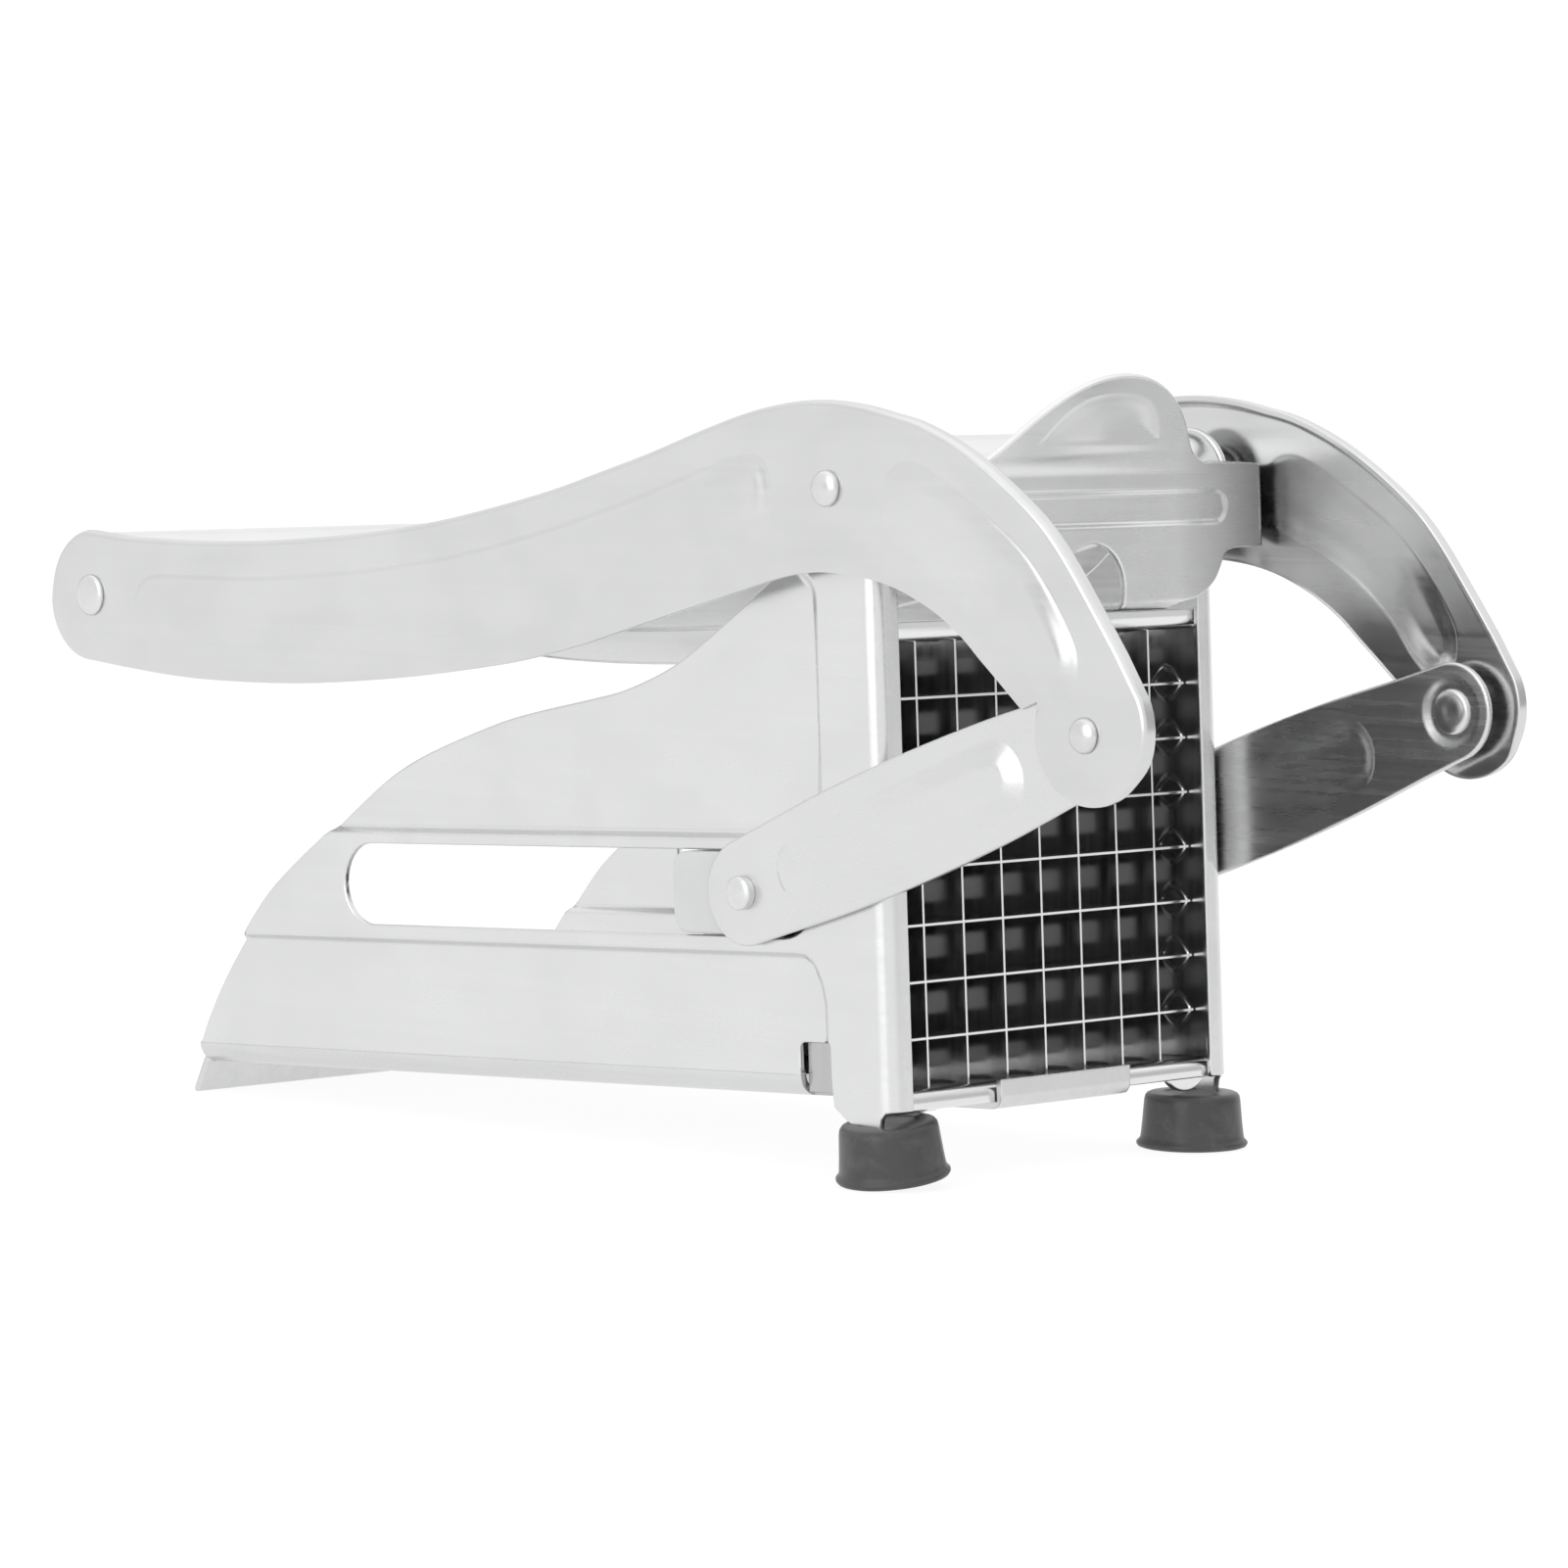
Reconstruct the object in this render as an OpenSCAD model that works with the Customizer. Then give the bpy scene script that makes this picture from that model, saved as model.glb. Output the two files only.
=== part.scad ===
// Lever press that pushes a potato through a square grid of blades.
// All sizes in mm. The working frame has its origin at the centre of the grid,
// in the plane of the blades' front edges: +X is the way the cut pieces leave,
// +Y is the left side and +Z is up. place() stands the press on its feet.

/* [Blade grid] */
// Distance between neighbouring blades
cell = 9; // [8.8:0.1:9.2]
// Thickness of a blade strip
blade_t = 0.4; // [0.4:0.1:0.8]
// Depth of a blade strip along the cut
blade_w = 12; // [10:1:13]

/* [Pusher] */
// Length of the pins of the pusher block
pin_len = 11; // [9:1:11]
// Width of a pin
pin_w = 5.1; // [4.5:0.1:5.7]
// Height of a pin in the middle rows
pin_h = 3.8; // [3.2:0.2:4.4]

/* [Sheet metal] */
// Thickness of the body sheet
sheet = 1.2; // [1:0.1:1.2]
// Height of the raised field on the handle arms
emboss = 0.6; // [0.4:0.1:0.6]

/* [Handle and pivots] */
// Diameter of the grip tube
grip_d = 22; // [20:0.5:22]
// Diameter of the spacer tube around the main axle
tube_d = 16; // [14:0.5:16]
// Diameter of the axle and of the pins
pin_d = 5; // [4.6:0.2:5.2]

/* [Feet] */
// Diameter of a rubber foot at the floor
foot_d = 17.6; // [17:0.2:18]
// Height of a rubber foot
foot_h = 9.2; // [8.8:0.2:9.4]

/* [Hidden] */
$fn = 64;
tilt = 2.7;             // the front stands a little higher than the rear
ground = 49.7;          // floor below the origin
fit = 0.05;             // running clearance of a turning joint
PO = [-0.8, 60.5];      // main pivot, in the X Z plane
PA = [53, 21.8];        // front pin of a link
PB = [-25.9, -3.4];     // rear pin of a link
PG = [-188.6, 46.9];    // centre of the grip
link_a = atan2(PA[1] - PB[1], PA[0] - PB[0]);
link_l = norm(PA - PB);
pr = pin_d / 2;
arm_in = 42.3;          // inner plane of an arm's rim
arm_out = 44.7;         // outer face of an arm
out1 = 39.6;            // outer face of the raised part of the wall
out0 = 38.0;            // outer face of the sunk panels
step_u = 5.3;           // line where the raised strip meets the upper panel
step_l = -13;           // line where it meets the lower panel
floor_b = -36.1;        // underside of the floor
bend_r = 3.5;           // outer radius of the long bends
z_ring = 41.4;          // outer face of the latch's legs
end_r = 11.6;           // radius of an arm's round ends
front_c = [54, 22.5];   // centre of an arm's front end
block_b = -29.7;        // rear face of the pusher block
half_x = (((front_c[0] - PG[0]) * cos(tilt) - (front_c[1] - PG[1]) * sin(tilt)) + 2 * end_r) / 2;
mid_x = (front_c[0] * cos(tilt) - front_c[1] * sin(tilt)) + end_r - half_x;

// ---- curve helpers ----
function spline(a, b, c, d, t) =
    0.5 * (2 * b + (c - a) * t + (2 * a - 5 * b + 4 * c - d) * t * t + (3 * b - a - 3 * c + d) * t * t * t);
function open_curve(p, n) =
    [for (i = [0:len(p) - 2]) for (k = [0:n - 1])
        spline(p[max(i - 1, 0)], p[i], p[i + 1], p[min(i + 2, len(p) - 1)], k / n),
     p[len(p) - 1]];
function loop_curve(p, n) =
    [for (i = [0:len(p) - 1]) for (k = [0:n - 1])
        spline(p[(i + len(p) - 1) % len(p)], p[i], p[(i + 1) % len(p)], p[(i + 2) % len(p)], k / n)];
function arc(c, r, a0, a1, n) =
    [for (i = [0:n]) c + r * [cos(a0 + (a1 - a0) * i / n), sin(a0 + (a1 - a0) * i / n)]];
// moves every corner of a closed outline inward; d is negative for the other turning sense
function inset(p, d) =
    [for (i = [0:len(p) - 1])
        let (m = len(p), a = p[(i + m - 1) % m], b = p[i], c = p[(i + 1) % m],
             u = (b - a) / norm(b - a), v = (c - b) / norm(c - b), w = (u + v) / norm(u + v))
        b + d / max(0.6, w * u) * [w[1], -w[0]]];
// height of the floor under the working frame at a given x
function ground_at(x) = (-ground - x * sin(tilt)) / cos(tilt);

// ---- building helpers ----
// stands the press on its feet and centres it over the origin
module place() { translate([-mid_x, 0, ground]) rotate([0, -tilt, 0]) children(); }
// a flat piece of the X Z plane between two values of y
module slab(y0, y1) { translate([0, y1, 0]) rotate([90, 0, 0]) linear_extrude(y1 - y0) children(); }
// a round bar along y
module bar(p, r, y0, y1) { translate([p[0], y1, p[1]]) rotate([90, 0, 0]) cylinder(h = y1 - y0, r = r); }
module dot(p, r) { translate(p) circle(r = r); }
module obround(a, b, r) {
    u = (b - a) / norm(b - a) * r;
    n = [-u[1], u[0]];
    dot(a, r);
    dot(b, r);
    polygon([a + n, b + n, b - n, a - n]);
}
// a rivet head with a worn, slightly domed top, growing towards +y from y0
module head(p, r, y0, h) {
    translate([p[0], y0, p[1]]) rotate([-90, 0, 0])
        rotate_extrude() polygon([[0, 0], [r, 0], [r, h * 0.45], [r - h * 0.35, h * 0.85], [r - h * 0.8, h], [0, h]]);
}
// the same solid on the right-hand side
module other_side() { mirror([0, 1, 0]) children(); }

// ---- body: side walls ----
rear_edge = [[-20.5, 46.8], [-32, 39.8], [-44, 33.2], [-56, 29.2], [-65.5, 27.5], [-80, 25.3], [-90, 23.2],
             [-105.5, 18.8], [-116, 14.6], [-125, 9.4], [-131.5, 5.3], [-140.5, -0.2], [-148.5, -5.8],
             [-155.8, -13], [-163, -21.2], [-168, -28.3], [-170.4, -32.6]];
lobe = concat(arc(PO, 8.5, 20, 175, 12), [[-10.6, 57], [-13.6, 52]]);

// whole wall, without the post's front edge
module wall_outline() {
    polygon(concat([[1.1, floor_b + bend_r], [1.1, 48], [4.6, 51], [6.9, 55]], lobe, open_curve(rear_edge, 3)));
}
module upper_panel(g) {
    polygon(concat([[-200, step_u + g], [-9.7 - g, step_u + g], [-9.7 - g, 41]],
        arc([-14.7 - g, 43], 5, 0, 62, 5), [[-40, 70]], [[-200, 70]]));
}
module lower_panel(g) {
    polygon(concat([[-200, step_l - g], [-14.6 - g, step_l - g], [-11.8 - g, -14.6], [-10.3 - g, -17.4], [-9.5 - g, -21],
        [-9.4 - g, -40], [-200, -40]]));
}
module wall() {
    difference() {
        union() {
            // raised strip, post and lobe
            slab(out1 - sheet, out1) difference() {
                wall_outline();
                upper_panel(0);
                lower_panel(0);
            }
            // sunk panels
            slab(out0 - sheet, out0) difference() {
                wall_outline();
                polygon([[-200, step_u], [-9.7, step_u], [-9.7, 41], [-9.7, 44], [-13, 48.6], [-30, 80], [40, 80], [40, -40],
                         [-9.4, -40], [-9.5, -21], [-10.3, -17.4], [-11.8, -14.6], [-14.6, step_l], [-200, step_l]]);
                // cut away in front of the floor, next to the post
                translate([-17.8, -40]) square([30, 12.6]);
            }
            // steps between the levels
            slab(out0 - sheet, out1) difference() {
                intersection() { wall_outline(); upper_panel(-sheet); }
                upper_panel(0);
            }
            slab(out0 - sheet, out1) difference() {
                intersection() { wall_outline(); lower_panel(-sheet); }
                lower_panel(0);
                translate([-17.8, -40]) square([30, 12.6]);
            }
            // the post runs on into the foot
            slab(out1 - sheet, out1)
                polygon([[1.1, -32.4], [-9.4, -32.4], [-9.1, -35.6], [-8.9, -37.3], [-5.3, -40], [-5, -40], [-4.4, -44], [1.2, -44], [1.5, -40], [1.9, -39], [2.2, -38], [1.1, -38]]);
            // rounded front bend and the flange that keeps the blade frame in
            translate([0, 0, -38]) linear_extrude(88.4) difference() {
                union() {
                    translate([1.1, out1 - 3.2]) intersection() { circle(r = 3.2); square(4); }
                    translate([4.3 - sheet, 34.6]) square([sheet, out1 - 3.2 - 34.6]);
                }
                translate([1.1, out1 - 3.2]) circle(r = 3.2 - sheet);
            }
        }
        // slot that guides the pusher
        slab(30, 50) obround([-120.5, -3.65], [-19, -3.65], 6.9);
        bar(PO, pr, 30, 50);
    }
}

module side_wall_left() { color("#c9cccf") place() wall(); }
module side_wall_right() { color("#c9cccf") place() other_side() wall(); }

// ---- body: floor ----
module floor_pan() {
    color("#c3c6c9") place() union() {
        // flat floor with its two long bends
        translate([-170.4, 0, 0]) rotate([90, 0, 90]) linear_extrude(152.6) polygon(concat(
            arc([out0 - bend_r, floor_b + bend_r], bend_r, 0, -90, 10), arc([-out0 + bend_r, floor_b + bend_r], bend_r, -90, -180, 10),
            arc([-out0 + bend_r, floor_b + bend_r], bend_r - sheet, -180, -90, 10), arc([out0 - bend_r, floor_b + bend_r], bend_r - sheet, -90, 0, 10)));
        // rear lip that rests on the table
        slab(-out0 + 1.7, out0 - 1.7) polygon(concat(
            [[-170.1, floor_b + sheet], [-170.1, floor_b], [-170.5, floor_b], [-173.4, ground_at(-173.4) + 0.35]],
            arc([-174, ground_at(-174) + 0.6 / cos(tilt)], 0.6, -70, -190, 6),
            [[-171.7, floor_b + sheet - 0.8], [-171.2, floor_b + sheet - 0.2], [-170.6, floor_b + sheet]]));
        // tongue that passes under the blade frame and turns up in front of it
        slab(-15, 15) polygon(concat(
            [[-20.4, floor_b], [-19.2, -36.6], [-18.8, -37.4], [-18.5, -38.3], [-17.7, -39], [-16.8, -39.2], [2.2, -39.2]], arc([2.2, -37.1], 2.1, -60, 0, 4),
            [[4.3, -34.4], [3.2, -34.4], [3.2, -38], [-17.5, -38], [-17.5, floor_b + sheet], [-20.4, floor_b + sheet]]));
    }
}

// ---- axle, tube and washers ----
module cross_tube() {
    color("#d0d3d6") place() difference() {
        bar(PO, tube_d / 2, -(out1 - sheet), out1 - sheet);
        bar(PO, tube_d / 2 - 1.2, -50, 50);
    }
}
module pivot_axle() {
    color("#d8dadc") place() union() {
        bar(PO, pr, -arm_out, arm_out);
        head(PO, 2.9, arm_out, 1.45);
        other_side() head(PO, 2.9, arm_out, 1.45);
    }
}
module pivot_washers() {
    color("#dcdee0") place() for (s = [0, 1]) mirror([0, s, 0]) difference() {
        bar(PO, 4.2, z_ring, arm_in);
        bar(PO, pr, 30, 50);
    }
}

// ---- latch over the blade frame ----
module lock_plate() {
    fx = 13.9;
    half = [[z_ring - 2, 49.2], [z_ring - 2, 62.7], [29, 63.1], [26.4, 63.4]];
    color("#c6c9cc") place() difference() {
        union() {
            // upright plate with a rounded lower edge
            difference() {
                translate([fx - sheet, 0, 0]) rotate([90, 0, 90]) linear_extrude(sheet) difference() {
                    polygon(concat([for (s = [1]) for (q = half) q], [[-26.4, 63.4], [-29, 63.1], [2 - z_ring, 62.7], [2 - z_ring, 49.2]],
                        [[-32.3, 48.6], [-31.2, 48.0], [-30.1, 45.8], [-28.3, 43.5], [-24.7, 41.4], [-20, 40.3], [-16.4, 39.7], [-7.2, 39.5]],
                        [[7.2, 39.5], [16.4, 39.7], [20, 40.3], [24.7, 41.4], [28.3, 43.5], [30.1, 45.8], [31.2, 48.0], [32.3, 48.6]]));
                    dot([0, 43.4], 7.1);
                    translate([-7.1, 30]) square([14.2, 13.4]);
                }
                // pressed bead, front side
                translate([fx - 0.6, 0, 0]) rotate([90, 0, 90]) linear_extrude(2) obround([-29.9, 55.9], [29.9, 55.9], 2.5);
            }
            // pressed bead, rear side
            translate([fx - sheet - 0.6, 0, 0]) rotate([90, 0, 90]) linear_extrude(0.7) obround([-29.9, 55.9], [29.9, 55.9], 2);
            // thumb tab leaning forward, with a pressed recess
            translate([fx, 0, 63.4]) rotate([0, 34, 0]) translate([-sheet, 0, 0]) difference() {
                rotate([90, 0, 90]) linear_extrude(sheet) polygon(loop_curve(
                    [[26.6, -0.3], [24, 0.8], [21.6, 2.5], [19.5, 4.9], [17.1, 7.8], [14.2, 10.8], [10.8, 13.4], [7, 15.3], [3.4, 16.3], [0, 16.6],
                     [-3.4, 16.3], [-7, 15.3], [-10.8, 13.4], [-14.2, 10.8], [-17.1, 7.8], [-19.5, 4.9], [-21.6, 2.5], [-24, 0.8], [-26.6, -0.3],
                     [-20, -0.4], [20, -0.4]], 2));
                translate([sheet - 0.5, 0, 0]) rotate([90, 0, 90]) linear_extrude(2) polygon(loop_curve(
                    [[13.4, 3.6], [13.2, 5], [11, 8.6], [7.8, 11.4], [4, 12.6], [0, 12.9], [-4, 12.6], [-7.8, 11.4], [-11, 8.6], [-13.2, 5],
                     [-13.4, 3.6], [-6, 3.4], [6, 3.4]], 2));
            }
            // rounded turn between plate and tab
            slab(-26, 26) intersection() {
                difference() { dot([fx - sheet, 63.5], sheet + 0.02); translate([fx - sheet - 3, 60]) square([3, 6]); }
                translate([fx - 3, 60]) square([6, 5]);
            }
            // legs that hang on the main axle
            for (s = [0, 1]) mirror([0, s, 0]) {
                translate([0, 0, 49.2]) linear_extrude(13.5) difference() {
                    intersection() { dot([fx - 2, z_ring - 2], 2); translate([fx - 2, z_ring - 2]) square(3); }
                    dot([fx - 2, z_ring - 2], 2 - sheet);
                }
                slab(z_ring - sheet, z_ring) union() {
                    polygon(concat([[fx - 2, 49.2], [fx - 2, 62.6], [5.6, 62.6]], arc(PO, 5.6, 28, 258, 18), [[6, 51.4]]));
                }
            }
            // turned-in lower lip that covers the frame
            difference() {
                slab(-26, 26) polygon(concat([[fx - sheet, 43], [fx - sheet, 41.4], [fx - sheet - 0.7, 40.7], [-1.6, 40.7], [-1.6, 39.5]],
                    arc([11.9, 41.5], 2, -90, 0, 5), [[fx, 43]]));
                translate([6, -7.1, 30]) cube([20, 14.2, 20]);
                translate([6, 0, 0]) cylinder(h = 45, r = 7.1);
                for (s = [-1, 1]) translate([fx - 3, s * 30, 40.9]) rotate([s * -18, 0, 0]) translate([-1, -12, -6]) cube([6, 24, 6]);
            }
        }
        bar(PO, pr + fit, -60, 60);
    }
}

// ---- blade cassette ----
// section of the upper plate with its turned-up front edge; the lower plate is its mirror image
module plate_section(z, h) {
    polygon(concat([[-17.4, z]], arc([1, z + 2], 2, -90, 0, 6), [[3, z + h], [1.9, z + h]],
        arc([1, z + 2], 0.9, 0, -90, 4), [[-17.4, z + 1.1]]));
}
module stake(x) { polygon([[x - 3.1, 0], [x, 2.6], [x + 3.1, 0], [x, -2.6]]); }
module blade_frame() {
    color("#d5d7d9") place() difference() {
        union() {
            // two side cheeks
            for (s = [0, 1]) mirror([0, s, 0]) translate([-17.4, 35.6, -35.9]) cube([20.4, 1.1, 73]);
            // plates above and below the grid
            slab(-36.6, 36.6) plate_section(36, 3.3);
            slab(-36.6, 36.6) translate([0, 1.2]) mirror([0, 1]) plate_section(36, 3.2);
            // staked ends of the blades
            for (s = [0, 1], k = [-3:3]) mirror([0, s, 0]) translate([0, 35.8, k * cell]) rotate([90, 0, 0]) linear_extrude(0.5) stake(-2.6);
            difference() {
                for (k = [-3:3]) translate([0, k * cell, 0]) {
                    translate([0, 0, -35]) linear_extrude(0.6) stake(-6.6);
                    translate([0, 0, 35.6]) linear_extrude(0.6) stake(-6.6);
                }
                for (k = [-3:3]) translate([-20, k * cell - blade_t / 2, -50]) cube([40, blade_t, 100]);
            }
            // half-moon stiffeners under the plates
            translate([0.4, 0, 0]) rotate([90, 0, 90]) linear_extrude(1.2) {
                intersection() { dot([31.3, -34.6], 5.6); translate([20, -42]) square([16.6, 7]); }
                intersection() { dot([-31.3, -34.6], 5.6); translate([-36.6, -38.4]) square([16.6, 3.4]); }
            }
        }
    }
}
module blades_vertical() {
    color("#e3e5e6") place() for (k = [-3:3]) difference() {
        translate([-blade_w, k * cell - blade_t / 2, -34.8]) cube([blade_w, blade_t, 70.8]);
        for (j = [-3:3]) translate([-blade_w - 1, k * cell - 2, j * cell - blade_t / 2]) cube([blade_w / 2 + 1, 4, blade_t]);
    }
}
module blades_horizontal() {
    color("#e3e5e6") place() for (j = [-3:3]) difference() {
        translate([-blade_w, -35.3, j * cell - blade_t / 2]) cube([blade_w, 70.6, blade_t]);
        for (k = [-3:3]) translate([-blade_w / 2, k * cell - blade_t / 2, j * cell - 2]) cube([blade_w, blade_t, 4]);
    }
}

// ---- rubber feet ----
// a cup-shaped foot standing on z = 0
module foot_shape() {
    rb = foot_d / 2;
    rotate_extrude() polygon([[0, 0], [rb - 0.5, 0], [rb + 0.4, 0.5], [rb + 0.4, 1.1], [rb - 0.2, 1.5],
        [rb - 0.8, foot_h - 0.9], [rb - 1.1, foot_h - 0.3], [rb - 1.8, foot_h], [0, foot_h]]);
}
module leg_pocket() {
    slab(out1 - sheet, out1)
        polygon([[-9.4, -30], [-9.1, -35.6], [-8.9, -37.3], [-5.3, -40], [-5, -40], [-4.4, -44], [1.2, -44], [1.5, -40], [1.9, -39], [4.3, -38], [4.3, -30]]);
}
module foot_left() {
    color("#2c2c2e") place() difference() {
        translate([-0.5, 34.5, ground_at(-0.5)]) rotate([0, tilt, 0]) foot_shape();
        leg_pocket();
    }
}
module foot_right() {
    rb = foot_d / 2;
    color("#2c2c2e") place() difference() {
        translate([-0.5, -34.5 - rb, ground_at(-0.5)]) rotate([0, tilt, 0]) rotate([8, 0, 0]) translate([0, rb - 0.5, 0]) foot_shape();
        other_side() leg_pocket();
        translate([-20, -37, -38.6]) cube([30, 40, 10]);
    }
}

// ---- handle ----
arm_top = [[-178, 57], [-160, 55.9], [-146, 55.5], [-132, 55.6], [-114, 56.2], [-96, 57.6], [-81, 59.6], [-66, 62.1],
           [-54, 64.7], [-42, 67.4], [-30, 70.5], [-19, 73], [-10, 74.2], [-2, 74.4], [6, 73.5], [13, 71.9], [20, 70],
           [28.5, 66.2], [36.5, 61.2], [44.5, 55], [50, 49], [56, 40.6], [60.5, 34]];
arm_low = [[39.8, 25.8], [35, 30.2], [31.3, 33.5], [27.7, 36.8], [23.2, 40], [19, 42.3], [13.5, 44.6], [7.4, 46.2],
           [0, 47.2], [-5.7, 47.4], [-12, 46.8], [-20.3, 45.1], [-34, 42.2], [-48, 39.2], [-60, 36.6], [-72, 34.6],
           [-84, 33.2], [-107, 31.5], [-133, 30.8], [-160, 31.8], [-180, 34]];
arm_outline = concat(open_curve(arm_top, 2), arc(front_c, end_r, 24, -202, 16), open_curve(arm_low, 2), arc(PG, end_r, 261, 95, 14));
rear_field = loop_curve([[-176, 46], [-172, 49.6], [-160, 49.6], [-146, 49], [-132, 49.1], [-114, 49.7], [-96, 51.1], [-81, 53], [-66, 55.6],
    [-54, 58.1], [-42, 60.9], [-30, 64], [-20, 66], [-15, 65], [-13.6, 60], [-15.2, 54.6], [-22, 51.4], [-34, 48.6], [-48, 45.6],
    [-60, 43], [-72, 40.8], [-84, 39.2], [-107, 37.7], [-133, 37.1], [-160, 37.8], [-172, 40], [-176, 43]], 2);
front_field = loop_curve([[11.6, 57], [12.6, 62], [17, 64], [23, 62], [32.5, 56.2], [40.5, 50.4], [45.5, 45], [50, 38.4], [52, 33.8],
    [50.6, 29.6], [46.6, 28.4], [43.2, 31], [38, 37], [31, 43.2], [24.5, 47.2], [17, 50.6], [13, 53]], 2);

module arm() {
    difference() {
        union() {
            slab(arm_out - sheet, arm_out) polygon(arm_outline);
            // turned rim
            slab(arm_in, arm_out - sheet) difference() {
                polygon(arm_outline);
                polygon(inset(arm_outline, sheet));
            }
            // raised fields
            slab(arm_out, arm_out + emboss) { polygon(rear_field); polygon(front_field); }
        }
        slab(arm_out - sheet - 1, arm_out - sheet + emboss) {
            polygon(inset(rear_field, 0.9));
            polygon(inset(front_field, 0.9));
        }
        bar(PO, pr + fit, 30, 60);
        bar(PA, pr, 30, 60);
        bar(PG, pr, 30, 60);
    }
}
module handle_arm_left() { color("#cfd1d3") place() arm(); }
module handle_arm_right() { color("#cfd1d3") place() other_side() arm(); }
module grip_tube() {
    color("#d9dbdd") place() difference() {
        bar(PG, grip_d / 2, -arm_in, arm_in);
        bar(PG, grip_d / 2 - 1.2, -60, 60);
    }
}
module grip_rod() {
    color("#d8dadc") place() union() {
        bar(PG, pr, -arm_out, arm_out);
        head(PG, 3.6, arm_out, 0.9);
        other_side() head(PG, 3.6, arm_out, 0.9);
    }
}
module front_rivets() {
    color("#d8dadc") place() for (s = [0, 1]) mirror([0, s, 0]) union() {
        bar(PA, pr, arm_in, arm_out);
        head(PA, 2.8, arm_out, 1.4);
    }
}

// ---- links ----
// drawn along x from the rear pin, in the X Z plane
link_edge = concat(arc([0, 0], 8.6, 270, 90, 14), open_curve([[8, 9.1], [22, 9.9], [40, 10.2], [58, 9.7], [74, 8.5]], 2),
    arc([link_l, 0], 8, 88, -88, 12), open_curve([[74, -8.5], [58, -9.7], [40, -10.2], [22, -9.9], [8, -9.1]], 2));
module link() {
    translate([PB[0], 0, PB[1]]) rotate([0, -link_a, 0]) difference() {
        union() {
            slab(40.4, 41.6) polygon(link_edge);
            // turned edge and raised field
            slab(41.6, 42) obround([11, 0], [60, 0], 5.2);
            slab(41.6, 42) difference() { polygon(link_edge); polygon(inset(link_edge, 1)); }
            // boss around the front pin
            translate([link_l, 40.0, 0]) rotate([-90, 0, 0])
                rotate_extrude() polygon([[3.7, 0], [4.6, 0], [6.2, 0.4], [6.2, 0.6], [3.7, 0.6]]);
        }
        slab(40, 41) obround([11, 0], [60, 0], 4.4);
        bar([0, 0], pr + fit, 30, 60);
        bar([link_l, 0], 3.7, 30, 60);
    }
}
module link_left() { color("#bfc2c4") place() link(); }
module link_right() { color("#bfc2c4") place() other_side() link(); }
module link_pin() {
    union() {
        bar(PA, 3.7, 40.2, 42);
        other_side() head(PA, 3.7, -40.2, 0.25);
    }
}
module link_pin_left() { color("#d8dadc") place() link_pin(); }
module link_pin_right() { color("#d8dadc") place() other_side() link_pin(); }

// ---- pusher ----
function row_h(k) = abs(k) > 2 ? pin_h - 1 : pin_h;
module pusher_block() {
    color("#242426") place() difference() {
        union() {
        slab(-35, 35) polygon([[block_b, -31.2], [-25.5, -32.8], [-21.5, -32.8], [-21.5, 35], [block_b, 35]]);
        for (j = [-3.5:1:3.5], k = [-3.5:1:3.5])
            translate([-22, j * cell - pin_w / 2, k * cell - row_h(k) / 2]) cube([pin_len + 0.5, pin_w, row_h(k)]);
        }
        bar(PB, pr, -50, 50);
    }
}
module pusher_plate() {
    color("#bfc2c4") place() difference() {
        union() {
            translate([block_b - 1.2, -33.4, -20]) cube([1.2, 66.8, 40]);
            for (s = [0, 1]) mirror([0, s, 0]) {
                translate([block_b - 1.2, 33, -12]) cube([1.2, 1.2, 17]);
                translate([0, 0, -12]) linear_extrude(17) difference() {
                    intersection() { dot([block_b - 2, 34.2], 2); translate([block_b - 2, 34.2]) square([4, 4]); }
                    dot([block_b - 2, 34.2], 0.8);
                }
                slab(35, 36.2) polygon([[block_b - 2, -12], [block_b - 2, 5], [-40, 5], [-44, 1], [-44, -8], [-40, -12]]);
            }
        }
        for (y = [-24, 24], z = [-13, 13]) translate([-40, y, z]) rotate([0, 90, 0]) cylinder(h = 20, r = 2);
        bar([-37.5, -3.65], pr, -50, 50);
    }
}
module pusher_screws() {
    color("#d8dadc") place() for (y = [-24, 24], z = [-13, 13]) translate([block_b, y, z]) rotate([0, -90, 0]) union() {
        cylinder(h = 1.3, r = 2);
        translate([0, 0, 1.2]) difference() {
            rotate_extrude() polygon([[0, 0], [3.6, 0], [3.6, 0.6], [2.9, 1.5], [1.6, 2], [0, 2.1]]);
            for (a = [0, 90]) rotate([0, 0, a]) translate([-2, -0.4, 1.1]) cube([4, 0.8, 2]);
        }
    }
}
module shoe() {
    difference() {
        union() {
            slab(36.8, 40.1) obround([-37.5, -3.65], [-25.9, -3.65], 6.75);
            slab(36.2, 36.8) obround([-38, -3.65], [-28, -3.65], 3.2);
            bar([-37.5, -3.65], pr, 34.4, 36.8);
        }
        bar(PB, pr, 30, 50);
    }
}
module slider_shoe_left() { color("#cfcfcd") place() shoe(); }
module slider_shoe_right() { color("#cfcfcd") place() other_side() shoe(); }
module pusher_rod() {
    color("#d8dadc") place() union() {
        bar(PB, pr, -41.7, 41.7);
        head(PB, 2.8, 41.7, 1.8);
        other_side() head(PB, 2.8, 41.7, 1.8);
    }
}

floor_pan();
side_wall_left();
side_wall_right();
cross_tube();
pivot_axle();
pivot_washers();
lock_plate();
blade_frame();
blades_vertical();
blades_horizontal();
foot_left();
foot_right();
handle_arm_left();
handle_arm_right();
grip_tube();
grip_rod();
front_rivets();
link_left();
link_right();
link_pin_left();
link_pin_right();
pusher_block();
pusher_plate();
pusher_screws();
slider_shoe_left();
slider_shoe_right();
pusher_rod();
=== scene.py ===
import math

import bpy
import numpy as np
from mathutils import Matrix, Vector
from mathutils.geometry import delaunay_2d_cdt


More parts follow.
